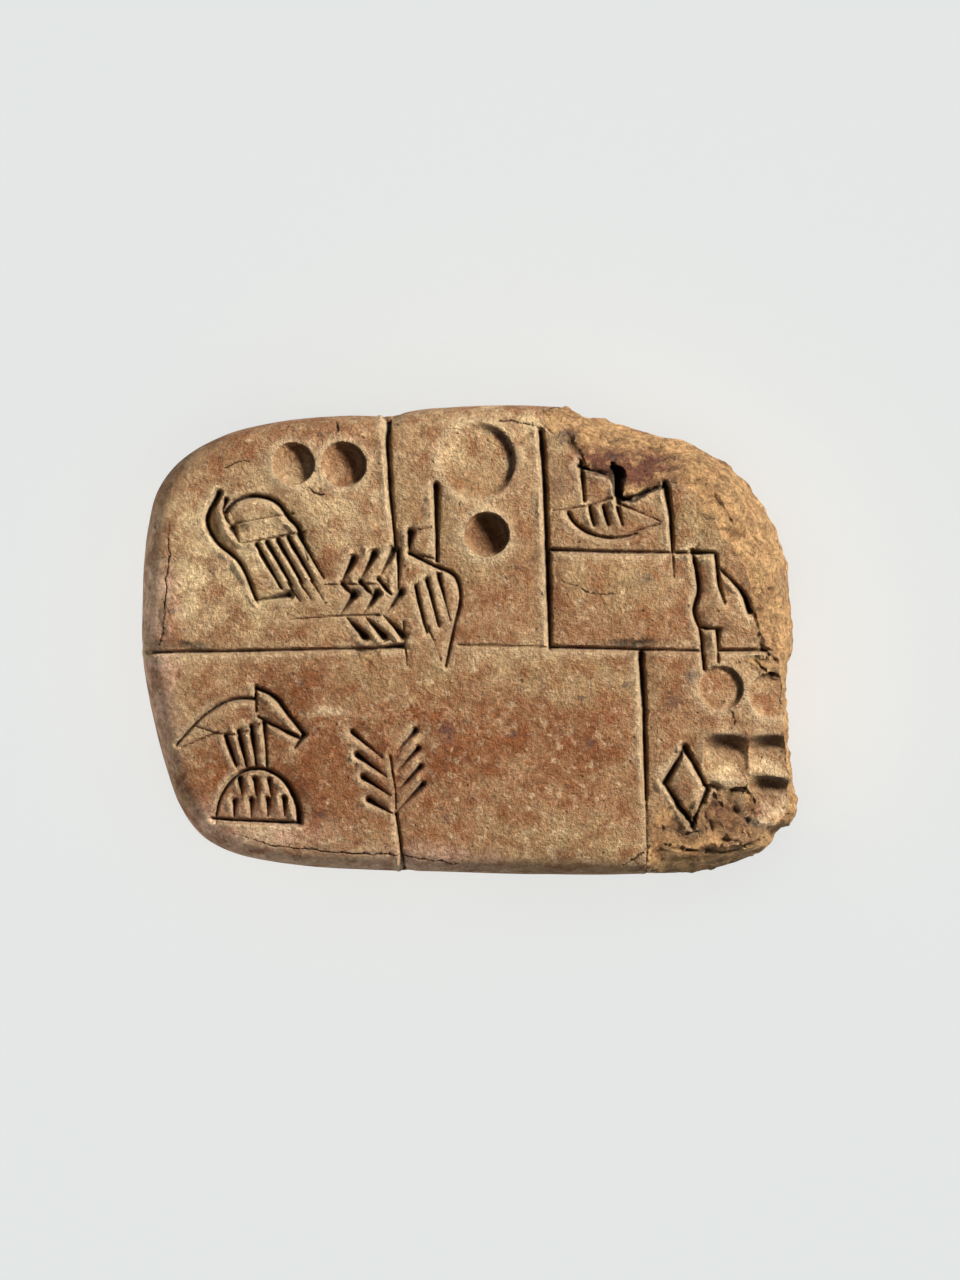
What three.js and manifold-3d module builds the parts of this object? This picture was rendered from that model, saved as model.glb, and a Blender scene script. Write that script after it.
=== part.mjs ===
// A clay tablet from an early counting house, lying on its back with the written face up.
// It is one pillow of clay, ruled into cases, pressed with round counting marks, marked with small
// stylus signs, and broken away along its right end.
// X runs along the tablet, Y up the face and Z out of the face.
import * as THREE from "three";
import { mergeVertices } from "three/addons/utils/BufferGeometryUtils.js";
import Module from "manifold-3d";

const wasm = await Module();
wasm.setup();

// Driving sizes, in millimetres.
const length = 85;
const width = 60.8;
const thickness = 22;

// Places on the face were measured on a tablet of this size, and they stretch with the driving sizes.
const measured = { length: 85, width: 60.8 };
const place = ([x, y]) => new THREE.Vector2((x * length) / measured.length, (y * width) / measured.width);

const clay = { color: 0xab8760, roughness: 0.9, metalness: 0 };

// The pillow before it was broken: how far each rounded edge reaches in, how much it rises,
// and the swell between. Squareness 2 rounds an edge as an ellipse, and more keeps it fuller.
const rim = { height: 0.48 * thickness };
const face = { inset: 5.5, rise: 0.43 * thickness, swell: 0.09 * thickness, squareness: 3.6 };
const back = { inset: 9.5, rise: 0.31 * thickness, swell: 0.2 * thickness, squareness: 2 };
const wave = { height: 0.16, lengthX: 23, lengthY: 17, shift: 1 };
const grid = { across: 16, up: 11, rimRings: 4, rimShare: 0.14 };

// Outline of the unbroken tablet, seen from above, anticlockwise from the middle of the right end.
const outlinePoints = [
  [45.5, 0],
  [43.8, 11.5],
  [39.6, 19.8],
  [32.4, 25.6],
  [22, 28.8],
  [12, 30.2],
  [2, 30.4],
  [-6, 29.9],
  [-10.6, 29.1],
  [-16, 29.1],
  [-24, 28.4],
  [-31.4, 26.7],
  [-37.2, 23.5],
  [-40.3, 19.7],
  [-41.8, 14],
  [-42.5, 4],
  [-42.4, -2.5],
  [-41.2, -9.5],
  [-39.6, -15.8],
  [-37.6, -21.4],
  [-34.8, -25.3],
  [-31.2, -27.4],
  [-22.8, -29.2],
  [-14, -29.8],
  [-4, -30.1],
  [8, -30.4],
  [22, -30.4],
  [33, -29.4],
  [40.4, -25.6],
  [44.4, -17],
  [45.5, -8],
];

// The break, from the top edge round the right end to the bottom edge. Each pair is the edge of the
// surviving face and the outermost point of the broken clay beside it.
const breakStations = [
  [[9, 31.6], [9, 33]],
  [[10.2, 28.6], [11.8, 30.6]],
  [[12.6, 25.4], [15.8, 29]],
  [[14.6, 23.6], [18.4, 28.4]],
  [[15.4, 21.6], [21.8, 27.4]],
  [[18.4, 20.6], [25.4, 26.4]],
  [[19.4, 18.4], [28.7, 25.6]],
  [[22.6, 19], [31, 24.6]],
  [[25.4, 20.3], [33.6, 23]],
  [[28.6, 19.5], [36, 20.7]],
  [[31.4, 17.4], [38.5, 17.1]],
  [[32.4, 13.6], [40.7, 12.7]],
  [[35.4, 10.6], [41.7, 9.4]],
  [[36.4, 6.6], [42.1, 5]],
  [[37, 2.4], [42.5, 0]],
  [[38.4, 0.2], [42, -2]],
  [[40, -2.6], [41.4, -3]],
  [[40.5, -8.6], [41.4, -8.6]],
  [[40.9, -13.5], [41.6, -13.4]],
  [[41.4, -18.6], [42.2, -18.9]],
  [[41.6, -22.4], [42.5, -23.6]],
  [[38.9, -24.2], [40.1, -24.8]],
  [[36.6, -26], [38.9, -27.1]],
  [[34, -26.7], [35.2, -29.1]],
  [[31, -27], [31.4, -30.3]],
  [[25.4, -26.8], [27, -31]],
  [[23.3, -26.6], [24.2, -31.2]],
  [[22.9, -31.5], [23, -33]],
];
// Section of the break: how far out from the face edge to the outermost point, and how far down
// to the rim height.
const breakSection = [
  { out: 0, down: 0.05 },
  { out: 0.3, down: 0.15 },
  { out: 0.62, down: 0.36 },
  { out: 0.86, down: 0.66 },
  { out: 1, down: 1 },
];
// Below the rim the break runs back under itself. Clear is how far the lost body reaches past it.
const breakWall = { undercut: 1.2, undercutHeight: 5, foot: 3.4, footHeight: -3, clear: 18, uneven: 0.3 };

// Distance from the centre to the unbroken outline, for any direction.
const outline = new THREE.CatmullRomCurve3(
  outlinePoints.map(place).map((p) => new THREE.Vector3(p.x, p.y, 0)),
  true,
  "centripetal",
)
  .getPoints(480)
  .map((p) => ({ angle: Math.atan2(p.y, p.x), radius: Math.hypot(p.x, p.y) }))
  .sort((p, q) => p.angle - q.angle);

function outlineRadius(angle) {
  const after = outline.findIndex((p) => p.angle >= angle);
  const q = outline[after < 0 ? 0 : after];
  const p = outline[after <= 0 ? outline.length - 1 : after - 1];
  const turn = (a) => (a + 4 * Math.PI) % (2 * Math.PI);
  const share = turn(angle - p.angle) / (turn(q.angle - p.angle) || 1);
  return p.radius + (q.radius - p.radius) * share;
}

// Rise of a rounded edge, from 0 at the outline to 1 where the edge meets the flatter middle.
function edgeRise(x, y, { inset, squareness }) {
  const inside = outlineRadius(Math.atan2(y, x)) - Math.hypot(x, y);
  const share = THREE.MathUtils.clamp(inside / inset, 0, 1);
  return (1 - (1 - share) ** squareness) ** (1 / squareness);
}

// The swell's share of its full height: 1 in the middle, half at the ends of either axis.
const fullness = (x, y) => 1 - ((2 * x) / length) ** 2 / 2 - ((2 * y) / width) ** 2 / 2;

// Height of the unmarked face, with the slight rolling that hands left in it.
function faceHeight(x, y) {
  const rollX = Math.sin((2 * Math.PI * x) / wave.lengthX + wave.shift);
  const rollY = Math.cos((2 * Math.PI * y) / wave.lengthY);
  const rise = edgeRise(x, y, face);
  return rim.height + rise * (face.rise + wave.height * rollX * rollY + face.swell * fullness(x, y));
}

// The underside swells past the table's plane and is pressed flat there, so the tablet lies still.
function backHeight(x, y) {
  const rise = edgeRise(x, y, back);
  return Math.max(0, rim.height - back.rise * rise - back.swell * rise * fullness(x, y));
}

// A closed solid from points and triangles, turned the right way out.
function solidFrom(positions, triangles) {
  const build = (triVerts) =>
    new wasm.Manifold(new wasm.Mesh({ numProp: 3, vertProperties: new Float32Array(positions), triVerts }));
  const made = build(new Uint32Array(triangles));
  if (made.volume() > 0) {
    return made;
  }
  const turned = [];
  for (let i = 0; i < triangles.length; i += 3) {
    turned.push(triangles[i], triangles[i + 2], triangles[i + 1]);
  }
  return build(new Uint32Array(turned));
}

function solidFromGeometry(geometry) {
  geometry.deleteAttribute("normal");
  geometry.deleteAttribute("uv");
  const merged = mergeVertices(geometry, 1e-4);
  return solidFrom(merged.attributes.position.array, merged.index.array);
}

// Rings of the pillow are closer together near the rim, where the clay turns over.
function gridLines(middleCells) {
  const flat = 1 - grid.rimShare;
  const rings = Array.from({ length: grid.rimRings }, (_, i) => 1 - (grid.rimShare * i) / grid.rimRings);
  const middle = Array.from({ length: middleCells + 1 }, (_, i) => -flat + (2 * flat * i) / middleCells);
  return [...rings.map((ring) => -ring), ...middle, ...rings.reverse()];
}

// A square grid, from -1 to 1 both ways, stretched over the outline so that its rings are parallel
// to the rim.
function overOutline(u, v, inset) {
  const ring = Math.max(Math.abs(u), Math.abs(v));
  const angle = Math.atan2(v * width, u * length);
  const radius = outlineRadius(angle);
  const flat = 1 - grid.rimShare;
  const turn = ((1 - ring) / grid.rimShare) * (Math.PI / 2);
  const reach = ring > flat ? radius - inset * (1 - Math.cos(turn)) : ((radius - inset) * ring) / flat;
  return new THREE.Vector2(Math.cos(angle) * reach, Math.sin(angle) * reach);
}

function pillow() {
  const across = gridLines(grid.across);
  const up = gridLines(grid.up);
  const positions = [];
  const index = { face: [], back: [] };
  for (const [side, sizes, height] of [["face", face, faceHeight], ["back", back, backHeight]]) {
    up.forEach((v, j) =>
      across.forEach((u, i) => {
        const onRim = i === 0 || j === 0 || i === across.length - 1 || j === up.length - 1;
        const cell = j * across.length + i;
        if (side === "back" && onRim) {
          index.back[cell] = index.face[cell];
          return;
        }
        const p = overOutline(u, v, sizes.inset);
        index[side][cell] = positions.length / 3;
        positions.push(p.x, p.y, onRim ? rim.height : height(p.x, p.y));
      }),
    );
  }
  const triangles = [];
  for (let j = 0; j < up.length - 1; j++) {
    for (let i = 0; i < across.length - 1; i++) {
      const cell = j * across.length + i;
      const corners = [cell, cell + 1, cell + 1 + across.length, cell + across.length];
      // The diagonal runs towards the nearest corner of the grid, so no triangle lies flat across the rim.
      const first = (i < across.length / 2) === (j < up.length / 2) ? 0 : 1;
      for (const side of ["face", "back"]) {
        const [a, b, c, d] = corners.map((_, k) => index[side][corners[(k + first) % 4]]);
        triangles.push(...(side === "face" ? [a, b, c, a, c, d] : [a, c, b, a, d, c]));
      }
    }
  }
  return solidFrom(positions, triangles);
}

// A solid through a row of sections with the same number of points, closed at both ends.
function loft(sections) {
  const count = sections[0].length;
  const positions = sections.flat().flatMap((p) => [p.x, p.y, p.z]);
  const triangles = [];
  for (let s = 0; s < sections.length - 1; s++) {
    for (let k = 0; k < count; k++) {
      const next = (k + 1) % count;
      const [a, b, c, d] = [s * count + k, s * count + next, (s + 1) * count + next, (s + 1) * count + k];
      triangles.push(a, b, c, a, c, d);
    }
  }
  const last = (sections.length - 1) * count;
  for (let k = 1; k < count - 1; k++) {
    triangles.push(0, k + 1, k);
    triangles.push(last, last + k, last + k + 1);
  }
  return solidFrom(positions, triangles);
}

// A repeatable number from -1 to 1, for the unevenness of broken clay.
const uneven = (i, j) => 2 * (Math.abs(Math.sin(12.9898 * i + 78.233 * j) * 43758.5453) % 1) - 1;

// Stations halfway between the measured ones, so that the broken clay is uneven at a smaller scale too.
function withMiddles(stations) {
  const middle = (p, q) => [(p[0] + q[0]) / 2, (p[1] + q[1]) / 2];
  return stations.flatMap(([edge, outermost], i) => {
    const next = stations[i + 1] ?? [edge, outermost];
    const between = [middle(edge, next[0]), middle(outermost, next[1])];
    return i < stations.length - 1 ? [[edge, outermost], between] : [[edge, outermost]];
  });
}

// Everything that broke away: a body beyond the break, lofted from one section at each station.
function lostEnd() {
  const sections = withMiddles(breakStations).map(([edge, outermost], i) => {
    const inner = place(edge);
    const outer = place(outermost);
    const top = faceHeight(inner.x, inner.y);
    const outwards = outer.clone().normalize();
    const shifted = (distance, z) => {
      const p = outer.clone().addScaledVector(outwards, distance);
      return new THREE.Vector3(p.x, p.y, z);
    };
    const surface = breakSection.map(({ out, down }, j) => {
      const p = inner.clone().lerp(outer, out);
      const rough = j > 0 && j < breakSection.length - 1 ? breakWall.uneven * uneven(i, j) : 0;
      return new THREE.Vector3(p.x, p.y, top + (rim.height - top) * down + rough);
    });
    return [
      shifted(breakWall.clear, 2 * thickness),
      new THREE.Vector3(inner.x, inner.y, 2 * thickness),
      ...surface,
      shifted(-breakWall.undercut + breakWall.uneven * uneven(i, 7), breakWall.undercutHeight),
      shifted(-breakWall.foot, breakWall.footHeight),
      shifted(breakWall.clear, breakWall.footHeight),
    ];
  });
  return loft(sections);
}

// Paths drawn on the face, as points in the drawing plane.
const line = (...points) => points.map(place);
const curve = (...points) =>
  new THREE.SplineCurve(points.map(place)).getPoints(2 * (points.length - 1));
function arc([x, y], [radiusX, radiusY], [from, to], steps = 7) {
  const angles = Array.from({ length: steps + 1 }, (_, i) => from + ((to - from) * i) / steps);
  return angles
    .map(THREE.MathUtils.degToRad)
    .map((angle) => place([x + radiusX * Math.cos(angle), y + radiusY * Math.sin(angle)]));
}

// A furrow drawn with the stylus: a V that is deepest where the stylus went in and thins to its tail.
const ruled = { wide: 0.85, deep: 0.85, tail: 0.8 };
const fine = { wide: 0.55, deep: 0.5, tail: 0.6 };
const drawn = { wide: 0.95, deep: 1, tail: 0.55 };
const broad = { wide: 1.25, deep: 1.35, tail: 0.6 };
const wedge = { wide: 1.35, deep: 1.3, tail: 0.2 };
const furrow = (path, stroke) => ({ path, ...stroke });
const furrows = (paths, stroke) => paths.map((path) => furrow(path, stroke));
// Parallel strokes: the first one's head, the step to the next head, and the reach from head to tail.
const row = (count, [x, y], [stepX, stepY], [reachX, reachY], [spreadX, spreadY] = [0, 0]) =>
  Array.from({ length: count }, (_, i) => {
    const head = [x + stepX * i, y + stepY * i];
    return line(head, [head[0] + reachX + spreadX * i, head[1] + reachY + spreadY * i]);
  });

// The rulings that divide the face into cases.
const rulings = [
  furrow(line([-41.4, -1.6], [-30.8, -1.5], [-20, -1.25], [-9, -1]), ruled),
  furrow(line([10.5, -0.95], [20, -1.2], [29.8, -1.45]), ruled),
  furrow(line([32.4, -1.4], [41, -1.3]), ruled),
  furrow(line([10, 11.6], [18.5, 11.3], [28.9, 11.2]), ruled),
  furrow(line([-9.4, -22.4], [-9, -25], [-8.5, -30]), ruled),
  furrow(line([-1.3, -0.7], [4.5, -0.75], [10.5, -0.95]), fine),
  furrow(line([26.3, 11.2], [26.5, 8]), fine),
  furrow(line([22.9, -20.6], [23.1, -30.6]), fine),
  furrow(line([9.3, 26.9], [9.8, 19.8], [10.1, 11.4]), { ...broad, tail: 0.8 }),
  furrow(line([10.15, 11.2], [10.3, 5.5], [10.5, -1.1]), { ...broad, tail: 0.65 }),
  furrow(line([-10.7, 30.2], [-10.6, 26.5], [-10.1, 18.5], [-9.4, 11.6]), broad),
  furrow(line([25.3, 20.2], [26.1, 16], [26.3, 11.2]), broad),
  furrow(line([22.2, -1.7], [22.6, -9], [22.9, -20.6]), broad),
  furrow(line([28.9, 11.25], [31.7, 11.2]), broad),
];

// Two bars under a dome on a bent stalk, with slanting strokes below.
const sheaf = [
  furrow(curve([-32.3, 18.9], [-33.8, 15.4], [-32.4, 12.5], [-29.6, 10], [-27.4, 5.1]), broad),
  furrow(curve([-31.3, 18.1], [-31.7, 16.6], [-31, 15]), drawn),
  furrow(arc([-27.6, 15.4], [4.1, 3.1], [160, 12]), { ...drawn, tail: 1.1 }),
  ...furrows([line([-22.6, 16.3], [-30.8, 14.9]), line([-21.2, 13.9], [-29.4, 12.4])], fine),
  furrow(curve([-23.6, 16.2], [-21.9, 14.2], [-20.8, 10.4]), { ...broad, tail: 0.3 }),
  ...furrows(row(5, [-27.4, 12.3], [1.35, 0.32], [3.2, -5.6]), drawn),
  ...furrows(row(3, [-23.4, 7.4], [1.5, 0.1], [1.6, -2.4]), fine),
  ...furrows([line([-30.6, 14.4], [-29.6, 12.5]), line([-23.2, 5.75], [-27.9, 5])], wedge),
];

// Three ranks of short slanting strokes held between level lines.
const chevrons = [
  ...furrows(row(3, [-14.9, 10.4], [2.6, 0.6], [-1.6, -3.1]), wedge),
  ...furrows(row(3, [-14.8, 5.9], [3, 0.1], [-1.7, -2.5]), wedge),
  ...furrows(row(3, [-13.4, 0.5], [2.5, 0], [-2.6, 2.6]), wedge),
  ...furrows(row(3, [-16.3, 7.2], [2.3, 0.3], [1.7, -1.9]), fine),
  ...furrows([line([-11.6, 7.2], [-18.6, 7.1]), line([-11.6, 3.2], [-16, 3.1], [-23.2, 2.6])], fine),
  furrow(line([-8.5, -0.8], [-14.5, -1.35]), drawn),
  furrow(line([-9.05, 11.6], [-9.1, 6.9]), fine),
];

// An upright beside a hood that falls in folds.
const hood = [
  furrow(line([-4.25, 19.9], [-4.1, 10.2]), broad),
  furrow(curve([-7.6, 11.1], [-4.6, 9.6], [-1.8, 8.2], [-1.1, 5.6], [-1.9, 1.8], [-3, -3.4]), drawn),
  furrow(line([-7.5, 13.8], [-7.7, 11.2]), wedge),
  ...furrows([line([-4.9, 14.5], [-7, 14]), line([-4.4, 10.4], [-7.2, 11.2])], fine),
  ...furrows(row(4, [-6.9, 6.4], [1.05, 0.9], [1.3, -5.2]), drawn),
];

// A bowed hull with upright ticks under a level line, beside two deep uprights and a crevice.
const boat = [
  furrow(arc([18.6, 17.6], [6, 4.5], [197, 300]), drawn),
  furrow(line([18.5, 18.3], [15.4, 17.2], [10.6, 16.6]), fine),
  ...furrows(row(3, [15.6, 17.1], [1.8, 0], [0.6, -2.3]), drawn),
  furrow(line([14.5, 23], [14.9, 18]), { ...drawn, tail: 0.8 }),
  furrow(line([19.1, 22.1], [19.4, 17.7]), { wide: 1.4, deep: 1.5, tail: 0.9 }),
  furrow(line([19.4, 17.9], [22.2, 18.7], [25.2, 20.1]), drawn),
];

// A narrow neck on a round body, with a leaf-shaped stroke at its side.
const jar = [
  furrow(curve([29, 11.1], [29.7, 6.6], [29.1, 3.8], [29.9, 1], [30.4, -3.8]), { ...drawn, tail: 0.9 }),
  furrow(curve([36.3, 3.6], [35.4, 6], [34, 7.6], [32.6, 9]), { ...broad, tail: 0.4 }),
  ...furrows([line([31.9, 10.9], [32.3, 7], [33, 4.8]), line([32.1, 1.2], [32.2, -2.9])], drawn),
  furrow(line([29.9, 1.6], [32.5, 1.35]), ruled),
];

// A four-legged beast drawn in a few strokes.
const beast = [
  furrow(curve([-27.6, -7.6], [-30.4, -7.7], [-33.8, -9.4], [-37.9, -13.5]), drawn),
  furrow(curve([-21.2, -12.2], [-22.9, -10.2], [-25.2, -7.3], [-27.4, -6.2]), { ...drawn, tail: 1.1 }),
  furrow(line([-21.8, -12.7], [-27.2, -9.9]), drawn),
  furrow(line([-27.5, -6.2], [-27.5, -9.2]), drawn),
  furrow(line([-21.4, -12.3], [-22.5, -13.9]), drawn),
  furrow(curve([-26.4, -10.5], [-29, -11.9], [-31.6, -12.2], [-35.4, -11.1]), fine),
  furrow(line([-32.4, -11.9], [-37.2, -13.9]), fine),
  ...furrows(row(4, [-31.4, -12.4], [1.65, 0.6], [1.4, -3.8], [-0.35, -0.6]), drawn),
];

// A mound with two ranks of ticks.
const mound = [
  furrow(arc([-27.3, -23.5], [5.4, 6.9], [0, 180], 10), { ...broad, tail: 0.4 }),
  furrow(line([-21.9, -23.6], [-33.2, -23.1]), { ...drawn, tail: 0.8 }),
  ...furrows(row(3, [-29.6, -17.8], [1.9, -0.15], [0.3, -2.1]), wedge),
  ...furrows(row(4, [-30.3, -20.8], [2.15, 0.1], [0.05, -2.1]), wedge),
];

// A sprig: pairs of barbs that meet on a short stem.
const sprig = [
  ...furrows(row(4, [-15.1, -11.9], [0.75, -2.9], [3.9, -3.3], [-0.2, 0.45]), wedge),
  ...furrows(row(4, [-6.9, -11.7], [0.3, -2.3], [-2.4, -2.6], [-0.3, -0.3]), wedge),
  furrow(line([-10.2, -15], [-9.5, -19.3], [-9.4, -22.4]), fine),
];

// A lozenge from four strokes.
const lozengeCorners = [[27.9, -13.9], [30.8, -18.9], [28.5, -23.6], [25.3, -18.2]];
const lozenge = lozengeCorners.map((corner, i) => furrow(line(corner, lozengeCorners[(i + 1) % 4]), broad));

const marks = [rulings, sheaf, chevrons, hood, boat, jar, beast, mound, sprig, lozenge].flat();

// More points along a path wherever the face bends away from a straight run, as it does over the rim.
const follow = { sag: 0.12, shortest: 0.7, longest: 9 };
function alongFace(path) {
  const dense = [path[0]];
  const reachTo = (from, to) => {
    const middle = from.clone().lerp(to, 0.5);
    const straight = (faceHeight(from.x, from.y) + faceHeight(to.x, to.y)) / 2;
    const bends = Math.abs(faceHeight(middle.x, middle.y) - straight) > follow.sag;
    const run = from.distanceTo(to);
    if (run > follow.longest || (bends && run > follow.shortest)) {
      reachTo(from, middle);
      reachTo(middle, to);
    } else {
      dense.push(to);
    }
  };
  for (let i = 1; i < path.length; i++) {
    reachTo(path[i - 1], path[i]);
  }
  return dense;
}

// The cutter for one furrow: a wedge whose edges stand a little above the face and whose keel follows it.
const standProud = 0.6;
function furrowCutter({ path, wide, deep, tail }) {
  const dense = alongFace(path);
  const sections = dense.map((p, i) => {
    const before = dense[Math.max(0, i - 1)];
    const after = dense[Math.min(dense.length - 1, i + 1)];
    const along = after.clone().sub(before).normalize();
    const share = 1 + (tail - 1) * (i / (dense.length - 1));
    const halfWidth = (wide * share) / 2;
    const depth = deep * share;
    const flare = (halfWidth * (depth + standProud)) / depth;
    const z = faceHeight(p.x, p.y);
    return [
      new THREE.Vector3(p.x - along.y * flare, p.y + along.x * flare, z + standProud),
      new THREE.Vector3(p.x, p.y, z - depth),
      new THREE.Vector3(p.x + along.y * flare, p.y - along.x * flare, z + standProud),
    ];
  });
  return loft(sections);
}

// Round counting marks, pressed with the butt of the stylus. Lean is in degrees, and the rim
// towards it is deeper.
const presses = [
  { at: [-22.7, 22.7], radius: 2.75, deep: 1.3, lean: 12, towards: 15 },
  { at: [-16.2, 22.6], radius: 2.95, deep: 1.6, lean: 12, towards: 15 },
  { at: [1, 23], radius: 5.0, deep: 1.15, lean: 6, towards: 15 },
  { at: [2.3, 13.6], radius: 2.9, deep: 2.2, lean: 6, towards: 20 },
  { at: [32.5, -6.2], radius: 2.95, deep: 0.95, lean: 9, towards: 15 },
  { at: [39, -7.2], radius: 2.9, deep: 0.7, lean: 8, towards: 60 },
  { at: [33.3, -15], radius: 3, deep: 1.35, lean: 24, towards: 88 },
  { at: [38.9, -14.9], radius: 2.8, deep: 1.35, lean: 24, towards: 92 },
  { at: [38.9, -20.4], radius: 3.1, deep: 1.5, lean: 24, towards: 80 },
];
// Profile of the stylus butt as shares of its radius and of its depth in the face, from the middle
// of its end to its axis above the face.
const buttProfile = [
  { out: 0, down: 1 },
  { out: 0.72, down: 0.96 },
  { out: 0.92, down: 0.72 },
  { out: 1, down: 0.2 },
  { out: 1.08, down: -0.6 },
  { out: 1.12, down: -3 },
  { out: 0, down: -3 },
];
const pressSides = 22;

function pressCutter({ at, radius, deep, lean, towards }) {
  const profile = buttProfile.map(({ out, down }) => new THREE.Vector2(radius * out, -deep * down));
  const geometry = new THREE.LatheGeometry(profile, pressSides);
  const { x, y } = place(at);
  const turn = THREE.MathUtils.degToRad(towards);
  const tip = new THREE.Vector3(-Math.sin(turn), Math.cos(turn), 0);
  geometry.rotateX(Math.PI / 2);
  geometry.applyMatrix4(new THREE.Matrix4().makeRotationAxis(tip, THREE.MathUtils.degToRad(lean)));
  geometry.translate(x, y, faceHeight(x, y));
  return solidFromGeometry(geometry);
}

// Shallow flakes that sprang off the face: centre, half-size along and up the face, depth, and turn
// in degrees. Each is a lens whose surface swells and sinks by these shares of its size.
const flakeSwell = { broadly: 0.14, narrowly: 0.08 };
const flakes = [
  { at: [33.4, -22.6], half: [4.6, 3.4], deep: 1.5, turn: 20 },
  { at: [27.6, -25.9], half: [4.4, 1.9], deep: 1.1, turn: 0 },
  { at: [38.4, -3.6], half: [2.4, 1], deep: 0.5, turn: -30 },
  { at: [12.2, 27.3], half: [2.4, 1.2], deep: 0.9, turn: -25 },
];

function flakeCutter({ at, half, deep, turn }) {
  const lens = new THREE.IcosahedronGeometry(1, 2);
  const points = lens.attributes.position;
  for (let i = 0; i < points.count; i++) {
    const [x, y, z] = [points.getX(i), points.getY(i), points.getZ(i)];
    const broadly = flakeSwell.broadly * Math.sin(5 * x + at[0]) * Math.cos(4 * y + at[1]);
    const swell = 1 + broadly + flakeSwell.narrowly * Math.sin(9 * (y + z));
    points.setXYZ(i, x * half[0] * swell, y * half[1] * swell, z * deep * swell);
  }
  const { x, y } = place(at);
  lens.rotateZ(THREE.MathUtils.degToRad(turn));
  lens.translate(x, y, faceHeight(x, y));
  return solidFromGeometry(lens);
}

function geometryOf(solid) {
  const mesh = solid.getMesh();
  const positions = new Float32Array(mesh.numVert * 3);
  for (let i = 0; i < mesh.numVert; i++) {
    positions.set(mesh.vertProperties.subarray(i * mesh.numProp, i * mesh.numProp + 3), i * 3);
  }
  const geometry = new THREE.BufferGeometry();
  geometry.setAttribute("position", new THREE.BufferAttribute(positions, 3));
  geometry.setIndex(new THREE.BufferAttribute(mesh.triVerts, 1));
  geometry.computeVertexNormals();
  return geometry;
}

function tablet() {
  const cutters = [...flakes.map(flakeCutter), ...presses.map(pressCutter), ...marks.map(furrowCutter)];
  const solid = cutters.reduce((left, cutter) => left.subtract(cutter), pillow().subtract(lostEnd()));
  const geometry = geometryOf(solid);
  geometry.computeBoundingBox();
  const middle = geometry.boundingBox.getCenter(new THREE.Vector3());
  geometry.translate(-middle.x, -middle.y, -geometry.boundingBox.min.z);
  const mesh = new THREE.Mesh(geometry, new THREE.MeshStandardMaterial(clay));
  mesh.name = "tablet";
  return mesh;
}

const group = new THREE.Group();
group.add(tablet());

export default group;
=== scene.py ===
import math
import bpy
import numpy as np
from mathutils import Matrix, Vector


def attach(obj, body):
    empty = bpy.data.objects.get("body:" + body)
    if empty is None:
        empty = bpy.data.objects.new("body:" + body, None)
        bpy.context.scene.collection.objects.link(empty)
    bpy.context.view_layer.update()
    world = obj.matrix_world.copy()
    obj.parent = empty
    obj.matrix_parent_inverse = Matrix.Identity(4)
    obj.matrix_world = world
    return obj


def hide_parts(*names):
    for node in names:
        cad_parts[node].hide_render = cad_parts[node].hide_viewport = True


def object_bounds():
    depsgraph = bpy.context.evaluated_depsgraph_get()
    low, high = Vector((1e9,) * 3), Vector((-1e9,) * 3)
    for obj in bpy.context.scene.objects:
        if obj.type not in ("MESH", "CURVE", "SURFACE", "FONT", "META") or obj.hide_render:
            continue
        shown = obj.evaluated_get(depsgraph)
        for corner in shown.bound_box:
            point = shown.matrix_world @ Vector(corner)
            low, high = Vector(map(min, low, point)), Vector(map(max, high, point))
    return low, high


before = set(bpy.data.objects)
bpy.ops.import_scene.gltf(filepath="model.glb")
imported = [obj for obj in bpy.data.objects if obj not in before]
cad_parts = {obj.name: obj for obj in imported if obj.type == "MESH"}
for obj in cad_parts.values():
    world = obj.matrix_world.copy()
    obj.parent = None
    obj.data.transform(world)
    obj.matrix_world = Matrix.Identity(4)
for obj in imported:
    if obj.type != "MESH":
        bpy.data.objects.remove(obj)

cadLow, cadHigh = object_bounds()
scene = bpy.context.scene
mm = 0.001
print("stage: frame loaded, box", [round(v / mm, 2) for v in cadHigh - cadLow], "mm")

# Camera: straight above the tablet, as in the photo. What the photo's height takes in is measured at the rim.
shot = {
    "above": 1.0,          # metres from the rim's height to the lens
    "frameHeight": 0.1664, # metres seen from the photo's top to its bottom
    "middle": (0.0013, 0.0),
    "sensor": 36.0,
    "rimHeight": 10.56 * mm,
}

cameraData = bpy.data.cameras.new("overheadCamera")
cameraData.sensor_width = shot["sensor"]
cameraData.lens = shot["sensor"] * shot["above"] / shot["frameHeight"]
cameraData.clip_start = 0.01
camera = bpy.data.objects.new("overheadCamera", cameraData)
camera.location = (*shot["middle"], shot["rimHeight"] + shot["above"])
scene.collection.objects.link(camera)
scene.camera = camera
print("stage: camera")

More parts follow.
